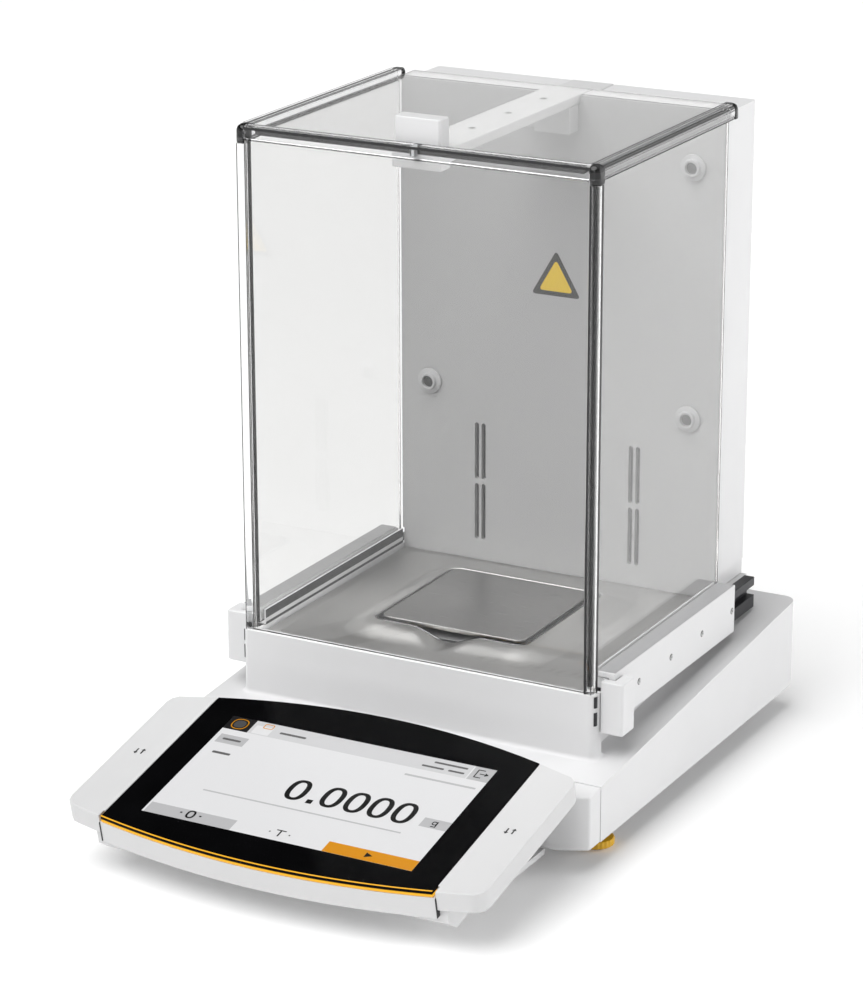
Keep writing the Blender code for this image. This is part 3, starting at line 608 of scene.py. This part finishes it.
def angles_round(count):
    """Even angles, with the exact ones of the floor's and the square's corners among them."""
    corners = [
        math.atan2(y - RING_CENTRE.y, x - RING_CENTRE.x) % (2.0 * math.pi)
        for x in (FLOOR_LOW.x, FLOOR_HIGH.x)
        for y in (FLOOR_LOW.y, FLOOR_HIGH.y)
    ]
    even = [2.0 * math.pi * (step + 0.5) / count for step in range(count)]
    kept = [a for a in even if all(abs(a - c) > math.pi / count for c in corners)]
    return sorted(kept + corners)


def rectangle_radius(angle):
    c = math.cos(angle)
    s = math.sin(angle)
    reach_x = ((FLOOR_HIGH.x if c > 0.0 else FLOOR_LOW.x) - RING_CENTRE.x) / c if abs(c) > 1e-9 else 1e9
    reach_y = ((FLOOR_HIGH.y if s > 0.0 else FLOOR_LOW.y) - RING_CENTRE.y) / s if abs(s) > 1e-9 else 1e9
    return min(reach_x, reach_y)


def bridge(shape, rings, closed=False):
    """Join rings of vertices, one to the next, with quads."""
    pairs = list(zip(rings, rings[1:]))
    if closed:
        pairs.append((rings[-1], rings[0]))
    for near, far in pairs:
        for index in range(len(near)):
            after = (index + 1) % len(near)
            shape.faces.new((near[index], near[after], far[after], far[index]))


def make_floor_sheet():
    """A pressed sheet: flat at the walls, rising to a lip round the pan, with a dip for a finger."""
    shape = bmesh.new()
    angles = angles_round(240)
    start = [square_radius(angle, RING_HALF + 0.0003, RING_CORNER) for angle in angles]
    end = [rectangle_radius(angle) for angle in angles]
    steps = [0.0, 0.0004, 0.0009, 0.0015, 0.0024] + [0.0024 + 0.0013 * (k + 1) for k in range(13)]
    rings = []
    flange = []
    for angle, radius in zip(angles, start):
        x = RING_CENTRE.x + radius * math.cos(angle)
        y = RING_CENTRE.y + radius * math.sin(angle)
        flange.append(shape.verts.new((x, y, min(floor_height(x, y), RING_HIGH.z) - 0.0012)))
    rings.append(flange)
    for step in steps:
        ring = []
        for angle, radius in zip(angles, start):
            x = RING_CENTRE.x + (radius + step) * math.cos(angle)
            y = RING_CENTRE.y + (radius + step) * math.sin(angle)
            lip = 0.0004 if step == 0.0 else 0.0
            ring.append(shape.verts.new((x, y, floor_height(x, y) - lip)))
        rings.append(ring)
    for share in (0.25, 0.5, 0.75, 1.0):
        ring = []
        for angle, radius, limit in zip(angles, start, end):
            reach = radius + steps[-1] + (limit - radius - steps[-1]) * share
            x = RING_CENTRE.x + reach * math.cos(angle)
            y = RING_CENTRE.y + reach * math.sin(angle)
            ring.append(shape.verts.new((x, y, floor_height(x, y))))
        rings.append(ring)
    bridge(shape, rings)
    sheet = finish_mesh("floor_sheet", shape, 70.0)
    thick = sheet.modifiers.new("sheet thickness", "SOLIDIFY")
    thick.thickness = 0.0006
    thick.offset = -1.0
    own(sheet, STEEL, "base", "brushed_stainless", "floor_plate")


def make_draft_ring():
    """A dark channel round the pan, whose outer edge follows the floor sheet's lip."""
    shape = bmesh.new()
    angles = [2.0 * math.pi * (step + 0.5) / 240 for step in range(240)]
    top = RING_HIGH.z
    foot = RING_LOW.z
    section = [
        (0.0000, top - 0.0008), (-0.0003, top - 0.0002), (-0.0007, top - 0.0001),
        (-0.0011, top - 0.0007), (-0.0016, top - 0.0022), (-0.0022, top - 0.0028),
        (-0.0026, top - 0.0027), (-0.0026, foot), (0.0, foot),
    ]
    rings = []
    for inset, height in section:
        ring = []
        for angle in angles:
            radius = square_radius(angle, RING_HALF + inset, RING_CORNER + inset)
            x = RING_CENTRE.x + radius * math.cos(angle)
            y = RING_CENTRE.y + radius * math.sin(angle)
            drop = (1.0 - groove_depth(x, y)) * (RING_HIGH.z - FLOOR_HIGH.z)
            z = max(height - drop, foot + 0.0002) if height > foot else foot
            ring.append(shape.verts.new((x, y, z)))
        rings.append(ring)
    bridge(shape, rings, closed=True)
    own(finish_mesh("draft_channel", shape, 60.0), CHROME, "base", "dark_chrome", "draft_ring")


# The display's picture, drawn in the display's own frame: across, up the slope and off the glass

TOUCH_LOW, TOUCH_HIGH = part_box("touch_glass")
TILT = math.radians(12.0)
REAR_BULGE = 0.012
UP_SLOPE = Vector((0.0, math.cos(TILT), math.sin(TILT)))
OFF_GLASS = Vector((0.0, -math.sin(TILT), math.cos(TILT)))
TOUCH_THICKNESS = 0.0018
REAR_EDGE = Vector((0.0, TOUCH_HIGH.y - TOUCH_THICKNESS * math.sin(TILT), TOUCH_HIGH.z))
GLASS_EDGE = REAR_EDGE - REAR_BULGE * UP_SLOPE
ON_DISPLAY = Matrix((
    (1.0, 0.0, 0.0, 0.0),
    (0.0, UP_SLOPE.y, OFF_GLASS.y, GLASS_EDGE.y),
    (0.0, UP_SLOPE.z, OFF_GLASS.z, GLASS_EDGE.z),
    (0.0, 0.0, 0.0, 1.0),
))
LAYER = 0.00005


def picture(name, outlines, surface, layer):
    """One object from several flat shapes, given in millimetres, on a layer of the picture."""
    shape = bmesh.new()
    low = LAYER * (layer - 0.8)
    for outline in outlines:
        points = [(x * MM, y * MM) for x, y in outline]
        add_prism(shape, points, low, LAYER * layer, ON_DISPLAY)
    return own(finish_mesh(name, shape), surface, "display", "touch_glass")


def bar(x_low, x_high, y_low, y_high, radius=0.0):
    if radius == 0.0:
        return [(x_low, y_low), (x_high, y_low), (x_high, y_high), (x_low, y_high)]
    return rounded(x_low, x_high, y_low, y_high, radius, 5)


def oval(centre, wide, tall, count=48):
    """Points of a squarish oval, as digits have."""
    points = []
    for step in range(count):
        angle = 2.0 * math.pi * step / count
        c = math.cos(angle)
        s = math.sin(angle)
        x = wide * math.copysign(abs(c) ** 0.82, c)
        y = tall * math.copysign(abs(s) ** 0.82, s)
        points.append((centre[0] + x, centre[1] + y))
    return points


def hoops(name, items, surface, layer):
    """Flat hoops, each an outer and an inner outline with equally many points."""
    shape = bmesh.new()
    low = LAYER * (layer - 0.8)
    high = LAYER * layer
    for outer, inner in items:
        rings = []
        for outline, height in ((outer, low), (outer, high), (inner, high), (inner, low)):
            rings.append([shape.verts.new((x * MM, y * MM, height)) for x, y in outline])
        bridge(shape, rings, closed=True)
        made = [vertex for ring in rings for vertex in ring]
        bmesh.ops.transform(shape, matrix=ON_DISPLAY, verts=made)
    return own(finish_mesh(name, shape), surface, "display", "touch_glass")


def make_picture():
    picture("screen_panel", [bar(-77.0, 77.0, -104.0, -13.0)], SCREEN_LIGHT, 1)
    picture("screen_header", [bar(-62.5, 64.6, -24.6, -13.0)], SCREEN_PALE, 2)
    tiles = [bar(65.4, 77.0, -24.6, -13.0), bar(-74.5, -58.0, -37.2, -29.5), bar(62.0, 77.0, -69.0, -61.5)]
    picture("screen_tiles", tiles + [bar(-75.8, -25.8, -104.0, -95.5)], SCREEN_GREY, 2)
    picture("screen_menu_tile", [bar(-77.0, -62.5, -24.6, -13.0)], SCREEN_DARK, 2)
    menu = (-69.8, -18.8)
    hoops("screen_menu_ring", [(oval(menu, 4.6, 4.6), oval(menu, 4.1, 4.1))], SCREEN_AMBER, 3)
    picture("screen_menu_disc", [oval(menu, 3.2, 3.2)], SCREEN_MID, 3)
    picture("screen_task_icon", [bar(-60.5, -50.5, -24.0, -16.8, 0.6)], SCREEN_LIGHT, 3)
    hoops(
        "screen_task_arc",
        [(bar(-56.6, -50.9, -18.4, -14.2, 1.0), bar(-56.1, -51.4, -17.9, -14.7, 0.7))],
        SCREEN_AMBER,
        4,
    )
    words = [
        bar(-45.5, -30.0, -20.2, -18.6, 0.6),
        bar(43.5, 62.5, -17.4, -16.0, 0.5),
        bar(38.5, 51.0, -21.8, -20.4, 0.5),
        bar(53.5, 62.5, -21.8, -20.4, 0.5),
        bar(-71.6, -60.9, -34.2, -32.6, 0.6),
        bar(-70.5, -60.0, -46.6, -44.8, 0.6),
    ]
    picture("screen_words", words, SCREEN_INK_SOFT, 4)
    picture("screen_note", [bar(34.0, 74.0, -31.8, -30.4, 0.4)], SCREEN_GREY, 2)
    picture("screen_rule", [bar(-56.7, 56.7, -78.0, -77.0)], SCREEN_GREY, 2)
    picture("screen_go_key", [bar(26.9, 77.0, -104.0, -95.5)], SCREEN_AMBER, 2)

    digits = []
    wide = 11.6
    left = -16.0
    middle = -61.8
    tall = 8.8
    for index in range(5):
        centre = (left + wide / 2.0, middle)
        digits.append((oval(centre, wide / 2.0, tall), oval(centre, wide / 2.0 - 2.8, tall - 2.1)))
        left += wide + (8.6 if index == 0 else 1.9)
    hoops("screen_digits", digits, SCREEN_INK, 3)
    point = -16.0 + wide + 2.8
    picture("screen_point", [bar(point, point + 3.3, middle - tall, middle - tall + 3.3)], SCREEN_INK, 3)

    zero = (-51.0, -98.9)
    hoops("screen_zero_mark", [(oval(zero, 2.5, 3.3), oval(zero, 1.4, 2.3))], SCREEN_INK, 4)
    marks = [bar(-57.2, -56.0, -99.4, -98.4), bar(-46.0, -44.8, -99.4, -98.4)]
    tare = [bar(-2.7, 2.7, -96.2, -95.5), bar(-0.4, 0.4, -100.8, -96.2), bar(-6.0, -5.2, -98.6, -97.8)]
    marks += [*tare, bar(5.2, 6.0, -98.6, -97.8), [(49.2, -101.8), (53.2, -99.8), (49.2, -97.8)]]
    exit_icon = [
        bar(68.0, 72.0, -15.9, -15.3), bar(68.0, 72.0, -22.3, -21.7), bar(68.0, 68.6, -22.3, -15.3),
        bar(70.2, 73.4, -19.1, -18.5), [(73.2, -20.2), (75.2, -18.8), (73.2, -17.4)],
    ]
    picture("screen_marks", marks + exit_icon, SCREEN_INK, 5)
    unit_ring = (oval((69.0, -64.8), 1.5, 1.5, 24), oval((69.0, -64.8), 0.9, 0.9, 24))
    hoops("screen_unit_mark", [unit_ring], SCREEN_INK, 4)
    tail = [bar(70.0, 70.6, -67.4, -63.3), bar(67.9, 70.6, -68.0, -67.4)]
    picture("screen_unit_tail", tail, SCREEN_INK, 4)

    arrows = []
    for side in SIDES.values():
        for offset, up in ((-1.7, -1.0), (1.7, 1.0)):
            x = side * 107.0 + offset
            arrows.append(bar(x - 0.42, x + 0.42, -60.0, -56.0))
            tip = -58.0 + up * 2.7
            arrows.append([(x - 1.3, tip - up * 1.7), (x + 1.3, tip - up * 1.7), (x, tip)][:: int(-up)])
    piece = picture("wing_marks", arrows, INK, 1)


def make_light_line():
    """The thin bright line that runs along the front edge of the glass, above the light bar."""
    half = TOUCH_HIGH.x
    bulge = 0.0095
    edge = -0.11546
    stations = [half * (step / 32.0 - 1.0) for step in range(65)]
    front = [(x, edge - bulge * (1.0 - (x / half) ** 2)) for x in stations]
    outline = front + [(x, y + 0.0009) for x, y in reversed(front)]
    shape = bmesh.new()
    add_prism(shape, outline, 0.00001, 0.00006, ON_DISPLAY)
    own(finish_mesh("light_line", shape), GLOW_AMBER, "display", "amber_plastic")


# Small trim

# The front of the posts in the CAD's own drawing, and how far that drawing's Y is ahead of the frame's
POST_FRONT = -0.0015
DRAWN_FROM = POST_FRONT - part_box("front_post_left")[0].y

# The area of the wall's slots on either side, and the heights of each rail's two lips
SLOTS_INNER = 0.0415
SLOTS_OUTER = 0.0510
SLOTS_FOOT = 0.090
SLOTS_HEAD = 0.163
RAIL_LIPS = ((0.0650, 0.0722), (0.0748, 0.0808))


def facing(axis, sign=1.0):
    """Turns a piece made along +Z so that it faces along an axis."""
    if axis == "x":
        return Matrix.Rotation(math.radians(90.0 * sign), 4, "Y")
    if axis == "y":
        return Matrix.Rotation(math.radians(-90.0 * sign), 4, "X")
    return Matrix.Identity(4)


def add_screw(shape, place, turn, radius, proud):
    """A low round head with a round socket, standing in a narrow dark gap."""
    matrix = Matrix.Translation(place) @ turn
    socket = 0.48 * radius
    middle = 0.04 * radius
    floor = 0.1 * proud
    profile = [
        (radius, 0.0), (radius, 0.6 * proud), (0.88 * radius, proud),
        (socket, proud), (socket, floor), (middle, floor), (middle, 0.0),
    ]
    add_turned(shape, profile, 24, matrix)


def add_gap_ring(shape, place, turn, radius, proud):
    matrix = Matrix.Translation(place) @ turn
    inner = radius + 0.00005
    outer = radius + 0.0004
    add_turned(shape, [(inner, 0.0), (outer, 0.0), (outer, proud), (inner, proud)], 28, matrix)


def make_screws(name, places, turn, radius, proud, body):
    heads = bmesh.new()
    gaps = bmesh.new()
    for place in places:
        add_screw(heads, place, turn, radius, proud)
        add_gap_ring(gaps, place, turn, radius, 0.15 * proud)
    own(finish_mesh(f"{name}_screws", heads), SCREW_STEEL, body, "brushed_stainless")
    own(finish_mesh(f"{name}_screw_gaps", gaps), SEAL_PAINTED_SHADE_AND_REFLECTION, body, "dark_plastic")


def make_trim():
    for side, sign in SIDES.items():
        low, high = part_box(f"door_plate_{side}")
        outer = high.x if sign > 0.0 else low.x
        spots = [(outer, low.y + 0.0292 + 0.0393 * k, 0.0775) for k in range(4)]
        make_screws(f"door_plate_{side}", spots, facing("x", sign), 0.0014, 0.0004, f"side_door_{side}")
    low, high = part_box("top_bar")
    spots = [(0.0, low.y + 0.0475 + 0.0405 * k, high.z) for k in range(3)]
    make_screws("top_bar", spots, facing("z"), 0.0016, 0.00022, "top_door")
    low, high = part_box("tower_cover")
    inset = 0.010
    columns = low.x + inset, high.x - inset
    rows = low.z + 0.03, high.z - inset
    spots = [(x, high.y, z) for x in columns for z in rows]
    make_screws("tower", spots, facing("y"), 0.0024, 0.0005, "base")
    make_seals_and_painted_streaks()
    make_channel_faces()
    make_painted_shade_backings()
    make_display_seams()
    make_rail_noses()
    make_plate_top_shade()
    make_label()
    make_catch()
    for side in SIDES:
        make_foot_wheel(side)


def dark_strips(name, body, *strips):
    """Thin dark strips, each given as the low and high corner of a narrow bar."""
    shape = bmesh.new()
    for low, high in strips:
        x = sorted((low[0], high[0]))
        outline = [(x[0], low[1]), (x[1], low[1]), (x[1], high[1]), (x[0], high[1])]
        add_prism(shape, outline, low[2], high[2])
    own(finish_mesh(name, shape), SEAL_PAINTED_SHADE_AND_REFLECTION, body, "dark_plastic")


def make_seals_and_painted_streaks():
    """Dark strips: seals in the joints between the posts, the rods, the panes and the doors, and painted
    reflections, the dark streaks that the clear posts and rods show.
    """
    for side, sign in SIDES.items():
        post_low, post_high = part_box(f"front_post_{side}")
        inner = post_low.x if sign > 0.0 else post_high.x
        outer = post_high.x if sign > 0.0 else post_low.x
        foot, head = post_low.z, post_high.z
        face = inner - sign * 0.00004
        cover = face - sign * 0.00016
        back = post_high.y
        nose = (post_low.y - 0.0002, post_low.y - 0.00005)
        if sign > 0.0:
            # These strips are partly seals and partly painted reflection: the dark streaks that the clear
            # post shows.
            strips = [
                ((cover, back - 0.0008, foot), (face, back, head)),
                ((inner + 0.0002, nose[0], foot), (inner + 0.0012, nose[1], head)),
                ((outer - 0.0013, nose[0], foot), (outer - 0.0008, nose[1], head)),
                ((outer + 0.00005, back - 0.0022, foot), (outer + 0.0002, back - 0.0004, head)),
            ]
        else:
            front = post_low.y + 0.0005
            strips = [
                ((cover, front, foot), (face, front + 0.0007, head)),
                ((cover, back - 0.0009, foot), (face, back, head)),
                ((outer + 0.0009, nose[0], foot), (outer + 0.0013, nose[1], head)),
            ]
        dark_strips(f"post_seal_and_streaks_{side}", "base", *strips)
    low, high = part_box("rear_wall")
    bottom = (low.x + 0.001, high.y + 0.00005, high.z - 0.0006)
    top = (high.x - 0.001, high.y + 0.0005, high.z + 0.0003)
    dark_strips("tower_seal", "base", (bottom, top))
    # Painted reflection: the wide strip stands in for the dark band seen in the clear rod; the thin and rear
    # strips sit at its joints.
    low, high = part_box("front_top_rod")
    ahead = low.y - 0.0002, low.y - 0.00005
    thin = ((low.x, ahead[0], low.z + 0.0003), (high.x, ahead[1], low.z + 0.0006))
    wide = ((low.x, ahead[0], high.z - 0.0022), (high.x, ahead[1], high.z - 0.0008))
    rear = ((low.x, high.y - 0.0012, high.z + 0.00005), (high.x, high.y - 0.0006, high.z + 0.00015))
    dark_strips("front_rod_seal_and_streak", "base", thin, wide, rear)
    for side, sign in SIDES.items():
        low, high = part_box(f"side_top_rod_{side}")
        outer = high.x if sign > 0.0 else low.x
        edges = outer - sign * 0.0012, outer - sign * 0.0002
        strips = [((edges[0], low.y, low.z - 0.0002), (edges[1], high.y, low.z - 0.00005))]
        # Painted reflection: the three strips on top of the rod stand in for dark streaks seen in it.
        for start in (0.0014, 0.0040, 0.0062):
            edges = outer - sign * (start + 0.0003), outer - sign * start
            strips.append(((edges[0], low.y, high.z + 0.00005), (edges[1], high.y, high.z + 0.00015)))
        dark_strips(f"side_rod_seal_and_streaks_{side}", "base", *strips)


def make_channel_faces():
    """The inner face of each door channel: a dark band over a bright edge and a black gap."""
    for side, sign in SIDES.items():
        low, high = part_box(f"door_channel_{side}")
        inner = low.x if sign > 0.0 else high.x
        x = sorted((inner, inner - sign * 0.00012))
        outline = [(x[0], low.y), (x[1], low.y), (x[1], high.y), (x[0], high.y)]
        shape = bmesh.new()
        for foot, head in ((low.z + 0.0036, high.z - 0.0001), (low.z, low.z + 0.0014)):
            add_prism(shape, outline, foot, head)
        piece = finish_mesh(f"channel_band_{side}", shape)
        own(piece, ANODISED, f"side_door_{side}", "black_rail")
        low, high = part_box(f"side_glass_{side}")
        edge = ((low.x, high.y + 0.00005, low.z), (high.x, high.y + 0.0003, high.z))
        dark_strips(f"door_seal_{side}", f"side_door_{side}", edge)


def make_painted_shade_backings():
    """Painted shade: dark sheets behind the wall's slots and dark discs in the nozzles' bores, where the
    hollows are dark, so nothing shows inside the tower.
    """
    _, wall_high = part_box("rear_wall")
    y = wall_high.y + 0.00005, wall_high.y + 0.0002
    shape = bmesh.new()
    for sign in SIDES.values():
        x = sorted((sign * SLOTS_INNER, sign * SLOTS_OUTER))
        outline = [(x[0], y[0]), (x[1], y[0]), (x[1], y[1]), (x[0], y[1])]
        add_prism(shape, outline, SLOTS_FOOT, SLOTS_HEAD)
    own(finish_mesh("slot_shade_sheet", shape), SEAL_PAINTED_SHADE_AND_REFLECTION, "base", "dark_plastic")
    # Painted shade in each nozzle's bore.
    shape = bmesh.new()
    for side in SIDES:
        for level in ("lower", "upper"):
            low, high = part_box(f"ion_nozzle_{side}_{level}")
            centre = (low + high) / 2.0
            matrix = Matrix.Translation((centre.x, low.y + 0.0022, centre.z)) @ facing("y")
            disc = [(0.0001, 0.0), (0.00335, 0.0), (0.00335, 0.0004), (0.0001, 0.0004)]
            add_turned(shape, disc, 24, matrix)
    own(finish_mesh("nozzle_bore_shade", shape), SEAL_PAINTED_SHADE_AND_REFLECTION, "base", "dark_plastic")


def make_rail_noses():
    """The black front ends of the door rails, which show beside the deck at the handles."""
    for side, sign in SIDES.items():
        outline = [(0.1035, -0.0009), (0.1045, 0.0), (0.1045, 0.0014), (0.1035, 0.0014)]
        mirrored = [(sign * x, y - DRAWN_FROM) for x, y in outline]
        shape = bmesh.new()
        for foot, head in RAIL_LIPS:
            add_prism(shape, mirrored, foot, head)
        own(finish_mesh(f"rail_nose_{side}", shape), ANODISED, "base", "black_rail")


def make_plate_top_shade():
    """Painted shade: the light grey strip over the top of each door's white plate, where the top is darker
    than the face only because of how the light falls.
    """
    for side in SIDES:
        low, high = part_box(f"door_plate_{side}")
        outline = rounded(low.x + 0.0003, high.x - 0.0003, low.y + 0.001, high.y - 0.001, 0.0004, 2)
        shape = bmesh.new()
        add_prism(shape, outline, high.z + 0.00003, high.z + 0.00015)
        own(finish_mesh(f"plate_top_shade_{side}", shape), MID_GREY, f"side_door_{side}", "grey_plastic")


def make_display_seams():
    """The dark joints where the front strip meets the display's two wings."""
    shape = bmesh.new()
    for sign in SIDES.values():
        x = sorted((sign * 0.09535, sign * 0.09575))
        outline = [(x[0], -0.1157), (x[1], -0.1157), (x[1], -0.1098), (x[0], -0.1098)]
        add_prism(shape, outline, -0.0152, -0.0042, ON_DISPLAY)
    own(finish_mesh("strip_seams", shape), SEAL_PAINTED_SHADE_AND_REFLECTION, "display", "dark_plastic")


def make_label():
    """A plain triangular label on the back wall, with nothing printed inside it."""
    wall_low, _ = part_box("rear_wall")
    half = 0.0140
    low = 0.2400
    high = 0.2640
    corner = 0.0012

    def triangle(inset):
        centre_z = low + (high - low) / 3.0
        share = 1.0 - inset / (centre_z - low)
        peaks = [(0.0, high), (-half, low), (half, low)]
        points = []
        for index, (x, z) in enumerate(peaks):
            start = 30.0 + 120.0 * index
            cx = x * (share - corner / half)
            cz = centre_z + (z - centre_z) * (share - corner / half)
            points.extend(arc((cx, cz), corner, start, start + 120.0, 6))
        return points

    turn = Matrix.Translation((0.0, wall_low.y, 0.0)) @ Matrix.Rotation(math.radians(90.0), 4, "X")
    fields = (("label_rim", 0.0, 1.0, INK), ("label_field", 0.0026, 2.0, LABEL_YELLOW))
    for name, inset, layer, surface in fields:
        shape = bmesh.new()
        add_prism(shape, triangle(inset), 0.00002, 0.00006 * layer, turn)
        own(finish_mesh(name, shape), surface, "base", "grey_plastic")


def make_catch():
    """The small magnet moulded into the front rod, which holds the top door shut."""
    low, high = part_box("front_top_rod")
    middle = (low + high) / 2.0
    shape = bmesh.new()
    profile = [
        (0.0002, -0.0019), (0.0019, -0.0019), (0.0021, -0.0016),
        (0.0021, 0.0016), (0.0019, 0.0019), (0.0002, 0.0019),
    ]
    add_turned(shape, profile, 32, Matrix.Translation(middle))
    own(finish_mesh("catch_magnet", shape), ALUMINIUM, "base", "bare_aluminium")


def make_foot_wheel(side):
    """The amber hand wheel, scalloped round its rim for the fingers."""
    low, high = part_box(f"foot_wheel_{side}")
    centre = ((low.x + high.x) / 2.0, (low.y + high.y) / 2.0, 0.0)
    radius = (high.x - low.x) / 2.0
    stud = 0.003
    profile = [
        (0.0012, low.z, 0.0), (0.0070, low.z, 0.0), (radius - 0.0007, low.z + 0.0001, 0.4),
        (radius, low.z + 0.0007, 1.0), (radius, low.z + 0.0035, 1.0), (radius - 0.0005, low.z + 0.0041, 0.8),
        (0.0075, low.z + 0.0042, 0.0), (stud, low.z + 0.0042, 0.0), (stud, high.z - 0.0004, 0.0),
        (stud - 0.0004, high.z, 0.0), (0.0012, high.z, 0.0),
    ]
    shape = bmesh.new()
    steps = 192
    rings = []
    for reach, height, share in profile:
        ring = []
        for step in range(steps):
            angle = 2.0 * math.pi * step / steps
            scallop = 0.0003 * share * (0.5 - 0.5 * math.cos(24.0 * angle))
            r = reach - scallop
            x = centre[0] + r * math.cos(angle)
            y = centre[1] + r * math.sin(angle)
            ring.append(shape.verts.new((x, y, height)))
        rings.append(ring)
    bridge(shape, rings, closed=True)
    wheel = finish_mesh(f"hand_wheel_{side}", shape)
    own(wheel, AMBER, f"foot_screw_{side}", "amber_plastic", f"foot_wheel_{side}")


def dress_inner_nodes():
    finishes = {
        "pan_support": ALUMINIUM,
        "cell_block": ALUMINIUM,
        "force_magnet": STEEL,
        "force_coil": COPPER,
        "calibration_weight": STEEL,
        "calibration_lifter": DARK_GREY,
        "main_board": BOARD,
        "ionizer_board": BOARD,
        "hinge_pin": STEEL,
        "display_module": DARK_GREY,
    }
    for node, surface in finishes.items():
        mesh = frame["nodes"][node].data
        mesh.materials.clear()
        mesh.materials.append(surface)


make_stage()
make_base()
make_chamber()
make_display()
softened("weighing_pan", PAN_STEEL, 0.0006)
make_floor_sheet()
make_draft_ring()
make_picture()
make_light_line()
make_trim()
dress_inner_nodes()
